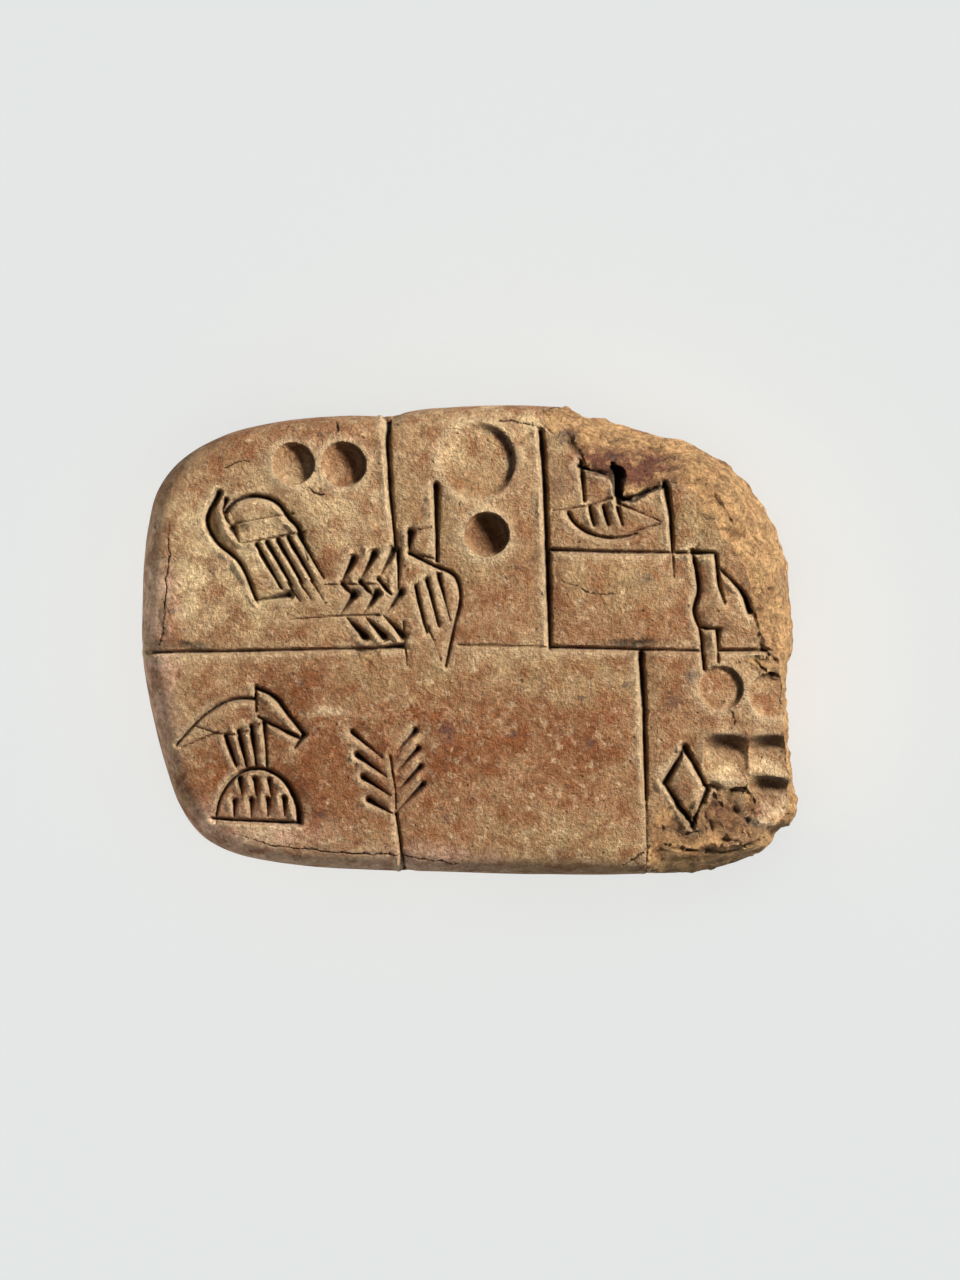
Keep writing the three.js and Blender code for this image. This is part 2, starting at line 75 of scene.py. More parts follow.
# The pillow of clay, in millimetres on the drawing plane, as it was before it broke.
pillow = {
    "rimHeight": 10.56,
    "faceInset": 5.5,   # how far the face's rounded edge reaches in from the outline
    "faceRise": 9.46,   # and how far it rises above the rim
    "faceSwell": 1.98,
    "faceSquareness": 3.6, # 2 rounds the edge as an ellipse, more keeps it fuller
    "backInset": 9.5,
    "backRise": 6.82,
    "backSwell": 4.4,
    "half": (42.5, 30.4),
    "wave": (0.16, 23.0, 17.0, 1.0), # height, length along, length up, shift
    "outline": [
        (45.5, 0), (43.8, 11.5), (39.6, 19.8), (32.4, 25.6), (22, 28.8), (12, 30.2), (2, 30.4), (-6, 29.9),
        (-10.6, 29.1), (-16, 29.1), (-24, 28.4), (-31.4, 26.7), (-37.2, 23.5), (-40.3, 19.7), (-41.8, 14),
        (-42.5, 4), (-42.4, -2.5), (-41.2, -9.5), (-39.6, -15.8), (-37.6, -21.4), (-34.8, -25.3),
        (-31.2, -27.4), (-22.8, -29.2), (-14, -29.8), (-4, -30.1), (8, -30.4), (22, -30.4), (33, -29.4),
        (40.4, -25.6), (44.4, -17), (45.5, -8),
    ],
}

# The broken end: pairs of the surviving face's edge and the outermost broken clay beside it.
breakage = {
    "stations": [
        ((9, 31.6), (9, 33)), ((10.2, 28.6), (11.8, 30.6)), ((12.6, 25.4), (15.8, 29)),
        ((14.6, 23.6), (18.4, 28.4)), ((15.4, 21.6), (21.8, 27.4)), ((18.4, 20.6), (25.4, 26.4)),
        ((19.4, 18.4), (28.7, 25.6)), ((22.6, 19), (31, 24.6)), ((25.4, 20.3), (33.6, 23)),
        ((28.6, 19.5), (36, 20.7)), ((31.4, 17.4), (38.5, 17.1)), ((32.4, 13.6), (40.7, 12.7)),
        ((35.4, 10.6), (41.7, 9.4)), ((36.4, 6.6), (42.1, 5)), ((37, 2.4), (42.5, 0)),
        ((38.4, 0.2), (42, -2)), ((40, -2.6), (41.4, -3)), ((40.5, -8.6), (41.4, -8.6)),
        ((40.9, -13.5), (41.6, -13.4)), ((41.4, -18.6), (42.2, -18.9)), ((41.6, -22.4), (42.5, -23.6)),
        ((38.9, -24.2), (40.1, -24.8)), ((36.6, -26), (38.9, -27.1)), ((34, -26.7), (35.2, -29.1)),
        ((31, -27), (31.4, -30.3)), ((25.4, -26.8), (27, -31)), ((23.3, -26.6), (24.2, -31.2)),
        ((22.9, -31.5), (23, -33)),
    ],
    "out": (0, 0.3, 0.62, 0.86, 1),          # from the face's edge to the outermost clay
    "down": (0.05, 0.15, 0.36, 0.66, 1),     # and down to the rim's height
    "undercut": (1.2, 5.0),                  # how far in, and the height it is reached at
    "foot": (3.4, -3.0),
    "ragged": 0.35,
}

meshing = {
    "across": 16, "up": 11, "rimRings": 4, "rimShare": 0.14,
    "finest": 0.29,     # longest edge on a furrow's steep wall
    "onSlope": 1.6,     # and how much longer on its gentle one
    "shortest": 0.2,    # edges this short on the drawing plane aren't halved
    "grows": 1.5,       # how fast edges may lengthen away from one
    "coarsestFace": 1.3, "coarsestBack": 2.3,
    "brokenEdge": 0.92, "brokenFoot": 1.4, # the fracture's, and how much longer under the rim
    "pressEdge": 0.34, "rimEdge": 0.9,
    "rounds": 16,
    "crease": 40, # degrees; sharper folds than this are shaded as edges
}


def smoothPath(points, perSpan=8, closed=False):
    # Centripetal Catmull-Rom through every point.
    p = np.array(points, float)
    if closed:
        p = np.vstack([p[-1:], p, p[:2]])
    else:
        p = np.vstack([2 * p[:1] - p[1:2], p, 2 * p[-1:] - p[-2:-1]])
    found = []
    for a, b, c, d in zip(p, p[1:], p[2:], p[3:]):
        k = np.cumsum([0.0] + [math.sqrt(np.linalg.norm(q - o)) for o, q in ((a, b), (b, c), (c, d))])
        t = np.linspace(k[1], k[2], perSpan, endpoint=False)[:, None]
        ab = ((k[1] - t) * a + (t - k[0]) * b) / (k[1] - k[0])
        bc = ((k[2] - t) * b + (t - k[1]) * c) / (k[2] - k[1])
        cd = ((k[3] - t) * c + (t - k[2]) * d) / (k[3] - k[2])
        abc = ((k[2] - t) * ab + (t - k[0]) * bc) / (k[2] - k[0])
        bcd = ((k[3] - t) * bc + (t - k[1]) * cd) / (k[3] - k[1])
        found.append(((k[2] - t) * abc + (t - k[1]) * bcd) / (k[2] - k[1]))
    if not closed:
        found.append(p[-2:-1])
    return np.vstack(found)


def dense(points, perSpan=10):
    p = np.array(points, float)
    share = np.linspace(0, 1, perSpan, endpoint=False)[:, None]
    return np.vstack([a + (b - a) * share for a, b in zip(p, p[1:])] + [p[-1:]])


latticeSide = 256
lattice = np.random.default_rng(11).uniform(-1, 1, (latticeSide, latticeSide))


def clipped(share):
    return np.clip(share, 0, 1)


def eased(share):
    return share * share * (3 - 2 * share)


def uneven(x, y, size, octaves=3):
    # Smooth value noise between about -1 and 1, with features of that size.
    total = np.zeros_like(x)
    for octave in range(octaves):
        px, py = x / size * 2 ** octave + 17.3 * octave, y / size * 2 ** octave + 41.7 * octave
        i, j = np.floor(px).astype(int), np.floor(py).astype(int)
        fx, fy = eased(px - i), eased(py - j)
        i, j, i1, j1 = [k % latticeSide for k in (i, j, i + 1, j + 1)]
        low = lattice[i, j] * (1 - fx) + lattice[i1, j] * fx
        high = lattice[i, j1] * (1 - fx) + lattice[i1, j1] * fx
        total += (low * (1 - fy) + high * fy) / 2 ** octave
    return total / (2 - 2 ** (1 - octaves))


def polar(path):
    angle, radius = np.arctan2(path[:, 1], path[:, 0]), np.hypot(path[:, 0], path[:, 1])
    order = np.argsort(angle)
    return angle[order], radius[order]


wholeAngles, wholeRadii = polar(smoothPath(pillow["outline"], 24, closed=True))
edgeAngles, edgeRadii = polar(dense([edge for edge, _ in breakage["stations"]]))
outerAngles, outerRadii = polar(dense([outer for _, outer in breakage["stations"]]))
unbroken = 99.0 # stands for a radius or a height where nothing broke away


def wholeRadius(angle):
    return np.interp(angle, wholeAngles, wholeRadii, period=2 * math.pi)


def edgeRadius(angle):
    return np.interp(angle, edgeAngles, edgeRadii, left=unbroken, right=unbroken)


def outerRadius(angle):
    return np.interp(angle, outerAngles, outerRadii, left=unbroken, right=unbroken)


def rimRadius(angle):
    return np.minimum(wholeRadius(angle), outerRadius(angle))


def edgeShare(x, y, inset):
    inside = wholeRadius(np.arctan2(y, x)) - np.hypot(x, y)
    return clipped(inside / inset)


def fullness(x, y):
    return 1 - (x / pillow["half"][0]) ** 2 / 2 - (y / pillow["half"][1]) ** 2 / 2


def faceHeight(x, y):
    share, square = edgeShare(x, y, pillow["faceInset"]), pillow["faceSquareness"]
    rise = (1 - (1 - share) ** square) ** (1 / square)
    height, alongX, alongY, shift = pillow["wave"]
    rolling = height * np.sin(2 * np.pi * x / alongX + shift) * np.cos(2 * np.pi * y / alongY)
    return pillow["rimHeight"] + rise * (pillow["faceRise"] + rolling + pillow["faceSwell"] * fullness(x, y))


def backHeight(x, y):
    share = edgeShare(x, y, pillow["backInset"])
    rise = np.sqrt(1 - (1 - share) ** 2)
    drop = rise * (pillow["backRise"] + pillow["backSwell"] * fullness(x, y))
    return np.maximum(0, pillow["rimHeight"] - drop)


def raggedEdge(angle):
    return edgeRadius(angle) + breakage["ragged"] * uneven(angle * 38, angle, 2.2, 3)


def breakHeight(x, y):
    angle, reach = np.arctan2(y, x), np.hypot(x, y)
    inner, outer = raggedEdge(angle), outerRadius(angle)
    along = (reach - inner) / np.maximum(outer - inner, 0.25)
    top = faceHeight(np.cos(angle) * inner, np.sin(angle) * inner)
    down = np.interp(along, breakage["out"], breakage["down"])
    height = top + (pillow["rimHeight"] - top) * down
    return np.where((along > 0) & (inner < unbroken - 1), height, unbroken)


def breakFoot(x, y):
    # Below the rim the fracture runs in under itself.
    angle = np.arctan2(y, x)
    inwards = outerRadius(angle) - np.hypot(x, y)
    (undercut, undercutHeight), (foot, footHeight) = breakage["undercut"], breakage["foot"]
    steps = (0, undercut, foot, foot + 3)
    heights = (pillow["rimHeight"], undercutHeight, footHeight, footHeight - 20)
    return np.where(inwards < foot + 3, np.interp(inwards, steps, heights), -unbroken)


# What the stylus drew: furrows, deepest at the head, with clay pushed up beside them.
stylus = {
    "ruled": (0.85, 0.85, 0.8),  # width and depth at the head, and the share of them left at the tail
    "fine": (0.55, 0.5, 0.6),
    "drawn": (1.0, 1.15, 0.55),
    "broad": (1.35, 1.5, 0.6),
    "wedge": (1.6, 1.45, 0.2),
    "dart": (1.2, 1.2, 0.25),
    "gouge": (1.5, 1.6, 0.9),
    "heldFrom": (0.87, 0.5),     # the hand's side: walls slope gently there and stand steep across from it
    "keel": 0.2,                 # shift of the keel away from the hand, as a share of the half-width
    "shoulder": 0.34,            # sag of the clay beside a furrow, as a share of its depth
    "shoulderWidth": 1.0,
    "lip": 0.28,                 # clay pushed up on the steep side, also as a share of the depth
    "lipWidth": 0.32,
    "squeezed": 0.42,            # clay squeezed up between neighbouring strokes, likewise
    "uneven": (0.12, 0.06, 0.15), # how much a furrow's width varies, broadly and finely, and its depth
}


def line(*points):
    return np.array(points, float)


def arc(middle, radii, angles, steps=14):
    turn = np.radians(np.linspace(*angles, steps + 1))
    return np.stack([middle[0] + radii[0] * np.cos(turn), middle[1] + radii[1] * np.sin(turn)], 1)


def row(count, head, step, reach, spread=(0, 0)):
    # Parallel strokes: the first one's head, the step to the next head, and the reach from head to tail.
    paths = []
    for i in range(count):
        start = (head[0] + step[0] * i, head[1] + step[1] * i)
        paths.append(line(start, (start[0] + reach[0] + spread[0] * i, start[1] + reach[1] + spread[1] * i)))
    return paths


def furrow(path, kind, tail=None):
    wide, deep, usualTail = stylus[kind]
    return {"path": path, "wide": wide, "deep": deep, "tail": usualTail if tail is None else tail}


def stroke(kind, *points, tail=None):
    return furrow(line(*points), kind, tail)


def bent(kind, *points, tail=None):
    return furrow(smoothPath(points, 6), kind, tail)


ridges = [] # each row of strokes below adds its own


def comb(kind, count, head, step, reach, spread=(0, 0)):
    # A row of strokes side by side, and the ridges of clay that they squeeze up between them.
    paths = row(count, head, step, reach, spread)
    wide, deep, _ = stylus[kind]
    for a, b in zip(paths, paths[1:]):
        run, across = a[1] - a[0], b[0] - a[0]
        gap = abs(run[0] * across[1] - run[1] * across[0]) / np.linalg.norm(run)
        ridges.append({"path": (a + b) / 2, "half": gap / 2 - 0.1 * wide, "high": stylus["squeezed"] * deep})
    return [furrow(path, kind) for path in paths]


rulings = [
    stroke("ruled", (-41.4, -1.6), (-30.8, -1.5), (-20, -1.25), (-9, -1)),
    stroke("ruled", (10.5, -0.95), (20, -1.2), (29.8, -1.45)),
    stroke("ruled", (32.4, -1.4), (41, -1.3)),
    stroke("ruled", (10, 11.6), (18.5, 11.3), (28.9, 11.2)),
    stroke("ruled", (-9.4, -22.4), (-9, -25), (-8.5, -30)),
    stroke("fine", (-1.3, -0.7), (4.5, -0.75), (10.5, -0.95)),
    stroke("fine", (26.3, 11.2), (26.5, 8)),
    stroke("fine", (22.9, -20.6), (23.1, -30.6)),
    stroke("broad", (9.3, 26.9), (9.8, 19.8), (10.1, 11.4), tail=0.8),
    stroke("broad", (10.15, 11.2), (10.3, 5.5), (10.5, -1.1), tail=0.65),
    stroke("broad", (-10.7, 30.2), (-10.6, 26.5), (-10.1, 18.5), (-9.4, 11.6)),
    stroke("broad", (25.3, 20.2), (26.1, 16), (26.3, 11.2)),
    stroke("gouge", (25.5, 19.6), (26.0, 15.6), tail=0.5),
    stroke("broad", (22.2, -1.7), (22.6, -9), (22.9, -20.6)),
    stroke("broad", (28.9, 11.25), (31.7, 11.2)),
]

sheaf = [
    bent("broad", (-32.3, 18.9), (-33.8, 15.4), (-32.4, 12.5), (-29.6, 10), (-27.4, 5.1)),
    bent("drawn", (-31.3, 18.1), (-31.7, 16.6), (-31, 15)),
    furrow(arc((-27.6, 15.4), (4.1, 3.1), (160, 12)), "drawn", 1.1),
    stroke("fine", (-22.6, 16.3), (-30.8, 14.9)),
    stroke("fine", (-21.2, 13.9), (-29.4, 12.4)),
    bent("broad", (-23.6, 16.2), (-21.9, 14.2), (-20.8, 10.4), tail=0.3),
    *comb("drawn", 5, (-27.4, 12.3), (1.35, 0.32), (3.2, -5.6)),
    *comb("fine", 3, (-23.4, 7.4), (1.5, 0.1), (1.6, -2.4)),
    stroke("wedge", (-30.6, 14.4), (-29.6, 12.5)),
    stroke("wedge", (-23.2, 5.75), (-27.9, 5)),
]

chevrons = [
    *comb("wedge", 3, (-14.9, 10.4), (2.6, 0.6), (-1.6, -3.1)),
    *comb("wedge", 3, (-14.8, 5.9), (3, 0.1), (-1.7, -2.5)),
    *comb("wedge", 3, (-13.4, 0.5), (2.5, 0), (-2.6, 2.6)),
    *comb("drawn", 3, (-16.3, 7.2), (2.3, 0.3), (1.7, -1.9)),
    stroke("fine", (-11.6, 7.2), (-18.6, 7.1)),
    stroke("fine", (-11.6, 3.2), (-16, 3.1), (-23.2, 2.6)),
    stroke("drawn", (-8.5, -0.8), (-14.5, -1.35)),
    stroke("drawn", (-9.05, 11.6), (-9.1, 6.2)),
]

hood = [
    stroke("broad", (-4.25, 19.9), (-4.1, 10.2)),
    bent("drawn", (-7.6, 11.1), (-4.6, 9.6), (-1.8, 8.2), (-1.1, 5.6), (-1.9, 1.8), (-3, -3.4)),
    stroke("wedge", (-7.5, 13.8), (-7.7, 11.2)),
    stroke("fine", (-4.9, 14.5), (-7, 14)),
    stroke("fine", (-4.4, 10.4), (-7.2, 11.2)),
    stroke("fine", (-8.4, 2.3), (-8.0, -3.3)),
    stroke("fine", (-5.2, 1.6), (-3.6, -2.6)),
    stroke("fine", (-3.5, 9.1), (-3.7, 7.2)),
    *comb("drawn", 3, (-6.9, 6.9), (1.5, 0.75), (1.5, -5.9)),
]

boat = [
    furrow(arc((18.6, 17.6), (6, 4.5), (197, 300)), "drawn"),
    stroke("fine", (18.5, 18.3), (15.4, 17.2), (10.6, 16.6)),
    stroke("fine", (19.4, 17.6), (24.8, 15.2)),
    stroke("fine", (24.6, 14.9), (20.6, 13.7)),
    stroke("drawn", (14.2, 22.4), (18.4, 21.0)),
    *comb("drawn", 3, (15.6, 17.1), (1.8, 0), (0.6, -2.3)),
    stroke("drawn", (14.5, 23), (14.9, 18), tail=0.8),
    stroke("gouge", (19.1, 22.1), (19.4, 17.7)),
    stroke("drawn", (19.4, 17.9), (22.2, 18.7), (25.2, 20.1)),
]

jar = [
    bent("drawn", (29, 11.1), (29.7, 6.6), (29.1, 3.8), (29.9, 1), (30.4, -3.8), tail=0.9),
    bent("broad", (36.3, 3.6), (35.4, 6), (34, 7.6), (32.6, 9), tail=0.4),
    stroke("drawn", (31.9, 10.9), (32.3, 7), (33, 4.8)),
    stroke("drawn", (32.1, 1.2), (32.2, -2.9)),
    stroke("ruled", (29.9, 1.6), (32.5, 1.35)),
]

beast = [
    bent("drawn", (-27.6, -7.6), (-30.4, -7.7), (-33.8, -9.4), (-37.9, -13.5)),
    bent("drawn", (-21.2, -12.2), (-22.9, -10.2), (-25.2, -7.3), (-27.4, -6.2), tail=1.1),
    stroke("drawn", (-21.8, -12.7), (-27.2, -9.9)),
    stroke("drawn", (-27.5, -6.2), (-27.5, -9.2)),
    stroke("drawn", (-21.4, -12.3), (-22.5, -13.9)),
    bent("fine", (-26.4, -10.5), (-29, -11.9), (-31.6, -12.2), (-35.4, -11.1)),
    stroke("fine", (-32.4, -11.9), (-37.2, -13.9)),
    *comb("drawn", 4, (-31.4, -12.4), (1.65, 0.6), (1.4, -3.8), (-0.35, -0.6)),
]

mound = [
    furrow(arc((-27.3, -23.5), (5.4, 6.9), (0, 180), 20), "broad", 0.4),
    stroke("drawn", (-21.9, -23.6), (-33.2, -23.1), tail=0.8),
    *comb("dart", 3, (-29.6, -17.8), (1.9, -0.15), (0.3, -2.1)),
    *comb("dart", 4, (-30.3, -20.8), (2.15, 0.1), (0.05, -2.1)),
]

sprig = [
    *comb("dart", 4, (-15.1, -11.9), (0.75, -2.9), (3.9, -3.3), (-0.2, 0.45)),
    *comb("dart", 4, (-6.9, -11.7), (0.3, -2.3), (-2.4, -2.6), (-0.3, -0.3)),
    stroke("fine", (-10.2, -15), (-9.5, -19.3), (-9.4, -22.4)),
]

lozengeCorners = [(27.9, -13.9), (30.8, -19.2), (28.9, -23.9), (25.3, -18.4)]
lozengeStrokes = ("broad", "drawn", "broad", "broad")
lozenge = [stroke(kind, *ends) for kind, *ends in zip(
    lozengeStrokes, lozengeCorners, lozengeCorners[1:] + lozengeCorners[:1])]

marks = rulings + sheaf + chevrons + hood + boat + jar + beast + mound + sprig + lozenge


def spots(amount, rows):
    # Ellipses on the face: middle, half-size, height or depth, and turn in degrees.
    return [{"at": at, "half": half, amount: value, "turn": turn} for at, half, value, turn in rows]


# Clay that stands up between crowded strokes.
swells = spots("high", [
    ((-5.9, 13.1), (1.7, 2.4), 0.95, 5),
    ((-7.7, 7.6), (1.3, 3.6), 0.6, -4),
    ((-2.9, 5.0), (1.5, 4.2), 0.75, 6),
    ((-5.2, 4.0), (1.2, 4.2), 0.55, 14),
    ((-7.5, 0.6), (1.4, 2.4), 0.55, 20),
    ((-4.2, -0.6), (1.5, 2.2), 0.45, 10),
    ((-27.4, 16.2), (4.4, 2.2), 0.6, -10),
    ((-26.6, 12.9), (4.6, 1.7), 0.5, 8),
    ((-31.4, 14.9), (1.2, 3.2), 0.55, 12),
    ((-28.6, 9.2), (1.5, 3.4), 0.5, 28),
    ((-31.2, -9.7), (4.6, 1.9), 0.45, 25),
    ((-24.6, -9.6), (3.0, 1.7), 0.5, -45),
    ((-27.4, -20.2), (5.0, 3.8), 0.3, 0),
    ((28.1, -18.8), (2.1, 3.8), 0.5, 5),
    ((32.9, 3.3), (3.2, 2.6), 0.75, 0),
    ((30.9, 8.4), (1.2, 2.9), 0.45, 5),
    ((31.3, -0.6), (1.1, 2.1), 0.35, 0),
    ((-9.4, 6.6), (1.2, 2.4), 0.45, 0),
    ((-12.6, 3.2), (4.4, 1.3), 0.4, 0),
    ((-13.6, 7.8), (3.4, 1.4), 0.35, 8),
    ((-18.6, 5.0), (4.2, 1.6), 0.35, 5),
    ((-9.9, -17.4), (1.6, 5.6), 0.3, 3),
])

# Drying cracks: hair lines that wander.
cracks = {
    "width": 0.16, "depth": 0.3, "wander": 0.3,
    "paths": [
        [(-38.6, 15.4), (-38.9, 9), (-39.4, 3), (-40, -0.8)],
        [(-32.6, 21.6), (-30.5, 22.6), (-28, 23.3)],
        [(-30.8, -24.8), (-25, -26.6), (-18, -27.4), (-9, -27.8), (-1.2, -28.9)],
        [(19.5, -29.2), (21.5, -28.2), (23, -26.8)],
        [(-17.2, 28.4), (-17, 26.2)],
        [(-20.8, 19.9), (-19.9, 18.9), (-18.6, 18.6)],
        [(11.9, 7.8), (15.8, 5.9), (19.4, 5.8)],
        [(33.7, -8.7), (34.4, -10.3), (33.8, -11.7)],
        [(36.8, -2.1), (37.7, -3.4), (38.7, -4.3), (40.3, -4.5)],
        [(3.6, 28.4), (7.2, 28), (9.6, 27.2)],
    ],
}

# Round counting marks, pressed with the butt of the stylus. Lean is in degrees, and the side that it leans to
# is deeper. A scoop is a mark pressed so far over that it has one wall and a floor that runs out.
presses = [
    {"at": (-22.7, 22.7), "radius": 2.75, "deep": 1.35, "lean": 11, "towards": 10, "bowl": 0.7},
    {"at": (-16.2, 22.6), "radius": 2.95, "deep": 1.6, "lean": 11, "towards": 10, "bowl": 0.7},
    {"at": (1, 23), "radius": 5.0, "deep": 0.72, "lean": 3, "towards": 15, "bowl": 0.1},
    {"at": (2.3, 13.6), "radius": 2.9, "deep": 2.3, "lean": 5, "towards": 20, "bowl": 0.75},
    {"at": (32.5, -6.2), "radius": 2.95, "deep": 0.62, "lean": 6, "towards": 15, "bowl": 0.1},
    {"at": (39, -7.2), "radius": 2.9, "deep": 0.7, "lean": 8, "towards": 60, "bowl": 0.4},
    {"at": (33.3, -15.0), "radius": 3.0, "deep": 1.35, "lean": 24, "towards": 88, "scoop": True},
    {"at": (38.9, -14.9), "radius": 2.8, "deep": 1.35, "lean": 24, "towards": 92, "scoop": True},
    {"at": (38.9, -20.4), "radius": 3.1, "deep": 1.5, "lean": 24, "towards": 80, "scoop": True},
]
collarLeast, collarShare, collarWidth = 0.12, 0.14, 0.9 # clay pushed up round a mark: least, per depth, width

# Shallow flakes that sprang off the face and the fracture's edge.
flakes = spots("deep", [
    ((33.4, -22.6), (4.6, 3.4), 1.5, 20),
    ((27.6, -25.9), (4.4, 1.9), 1.1, 0),
    ((38.4, -3.6), (2.4, 1.0), 0.5, -30),
    ((12.2, 27.3), (2.4, 1.2), 0.9, -25),
    ((-12.6, -1.9), (1.6, 0.8), 0.35, -10),
    ((27.4, -23.6), (4.6, 2.9), 0.4, 15),
    ((38.7, -24.6), (2.6, 1.2), 0.7, 20),
    ((31.9, 17.4), (2.4, 1.6), 0.5, 40),
])


def tear(wide, deep, *points):
    return {"path": smoothPath(points, 4), "wide": wide, "deep": deep}


# Holes, crevices and ledges in the fracture itself: width, depth and path.
tearWander = 0.45
tears = [
    tear(1.7, 1.9, (18.7, 22.9), (19.2, 21), (19.3, 19.2), (19.9, 18)),
    tear(0.8, 0.9, (19.6, 18.1), (21.6, 18.2), (23.4, 19.2), (25.2, 20.0)),
    tear(0.5, 0.6, (14.6, 22.6), (16.4, 22), (18.4, 21.6)),
    tear(0.9, 0.7, (12.8, 26.6), (13.4, 25), (14.8, 23.4)),
    tear(0.4, 0.4, (31.2, 13.6), (33, 14.2), (34.9, 13.9)),
    tear(0.7, 0.6, (30.2, -18.6), (33.4, -19.4), (35.8, -19.2)),
    tear(0.6, 0.7, (24.2, -26.2), (28, -26.9), (33.6, -27.3), (38.3, -25.6)),
    tear(0.5, 0.5, (30.5, -22.6), (32.2, -25), (35, -26.2)),
    tear(0.5, 0.4, (14.5, 26.7), (19.3, 25.7), (23.8, 25.3), (28.3, 23.4)),
    tear(0.5, 0.4, (25.4, 22.9), (29.5, 20.8), (32.4, 18), (34.7, 13.5)),
    tear(0.45, 0.35, (29.5, 23.8), (33.4, 20.6), (36, 16), (37.9, 10.9)),
    tear(0.6, 0.5, (35.3, 6.4), (36.9, 2.6), (37.6, -0.6), (39.8, -2.6)),
    tear(0.4, 0.35, (28.9, 11.3), (30.8, 14.6), (31.2, 17.2)),
    tear(0.7, 0.7, (31.2, -21.2), (33.8, -21.6), (36.2, -23.4)),
    tear(0.6, 0.5, (25.0, -24.4), (28.4, -25.2), (31.0, -24.6)),
]


def alongPath(path, x, y):
    # For a polyline: nearest distance, share of the way along, and how far a place lies on the leaning side.
    a, b = path[:-1], path[1:]
    run = b - a
    length = np.linalg.norm(run, axis=1)
    start = np.concatenate([[0], np.cumsum(length)])
    fromA = np.stack([x, y], 1)[:, None, :] - a[None]
    t = clipped((fromA * run).sum(2) / length ** 2)
    gap = fromA - run * t[..., None]
    distance = np.linalg.norm(gap, axis=2)
    nearest = distance.argmin(1)
    pick = np.arange(len(x))
    t, distance, gap = t[pick, nearest], distance[pick, nearest], gap[pick, nearest]
    share = (start[nearest] + t * length[nearest]) / start[-1]
    facing = (gap @ np.array(stylus["heldFrom"])) / np.maximum(distance, 1e-6)
    return distance, share, facing


def within(path, x, y, margin):
    low, high = path.min(0) - margin, path.max(0) + margin
    return np.nonzero((x > low[0]) & (x < high[0]) & (y > low[1]) & (y < high[1]))[0]


def keepHighest(field, near, values):
    field[near] = np.maximum(field[near], values)


def turnedSpan(spot, x, y):
    # Place in a turned ellipse, in its own half-sizes.
    turn = math.radians(spot["turn"])
    dx, dy = x - spot["at"][0], y - spot["at"][1]
    along = (dx * math.cos(turn) + dy * math.sin(turn)) / spot["half"][0]
    up = (dy * math.cos(turn) - dx * math.sin(turn)) / spot["half"][1]
    return along, up


def carveMarks(x, y):
    # Furrow depth, the part of it towards the hand, which lies in shade and is painted dark with dirt, sag
    # beside it and lip beyond it.
    furrowDepth, shadedSideDepth, sag, lip = [np.zeros_like(x) for _ in range(4)]
    wobble, ragged = uneven(x, y, 1.3, 2), uneven(x + 60, y, 0.7, 2)
    broadly, finely, deeper = stylus["uneven"]
    for mark in marks:
        near = within(mark["path"], x, y, 3)
        distance, share, facing = alongPath(mark["path"], x[near], y[near])
        size = 1 + (mark["tail"] - 1) * share
        half = mark["wide"] / 2 * size * (1 + broadly * wobble[near] + finely * ragged[near])
        deep = mark["deep"] * size * (1 + deeper * wobble[near])
        across = np.sign(facing) * distance / half
        keel = -stylus["keel"] * np.abs(facing)
        onHand = across > keel
        slope = np.where(onHand, (across - keel) / (1 - keel), (keel - across) / (1 + keel))
        wall = deep * clipped(1 - slope) ** np.where(onHand, 1.15, 0.85)
        beyond = np.clip(distance - half, 0, None) / stylus["shoulderWidth"]
        ridge = np.exp(-((distance - half - 0.24) / stylus["lipWidth"]) ** 2)
        raised = stylus["lip"] * deep * (0.5 - 0.5 * facing) * (1 + 0.6 * wobble[near]) * ridge
        keepHighest(furrowDepth, near, wall)
        keepHighest(shadedSideDepth, near, wall * clipped((across + 0.7) / 0.5))
        keepHighest(sag, near, stylus["shoulder"] * deep * (0.58 + 0.42 * facing) * np.exp(-beyond ** 2))
        keepHighest(lip, near, np.where(distance > half - 0.1, raised, 0))
    return furrowDepth, shadedSideDepth, sag, lip


def carveCracks(x, y):
    depth = np.zeros_like(x)
    wanderX = cracks["wander"] * uneven(x, y, 1.1, 3)
    wanderY = cracks["wander"] * uneven(y + 50, x, 1.1, 3)
    for points in cracks["paths"]:
        path = np.array(points, float)
        near = within(path, x, y, 1.2)
        distance, share, _ = alongPath(path, x[near] + wanderX[near], y[near] + wanderY[near])
        half = cracks["width"] / 2 * np.sqrt(np.clip(4 * share * (1 - share), 0.05, 1))
        keepHighest(depth, near, cracks["depth"] * clipped(1.4 - distance / half))
    return depth


def tearDepth(x, y):
    depth = np.zeros_like(x)
    shiftX, shiftY = tearWander * uneven(x, y, 1.4, 3), tearWander * uneven(y + 70, x, 1.4, 3)
    for torn in tears:
        near = within(torn["path"], x, y, 2)
        distance, share, _ = alongPath(torn["path"], x[near] + shiftX[near], y[near] + shiftY[near])
        half = torn["wide"] / 2 * np.clip(6 * share * (1 - share), 0.3, 1)
        keepHighest(depth, near, torn["deep"] * clipped(1.25 - distance / half))
    return depth


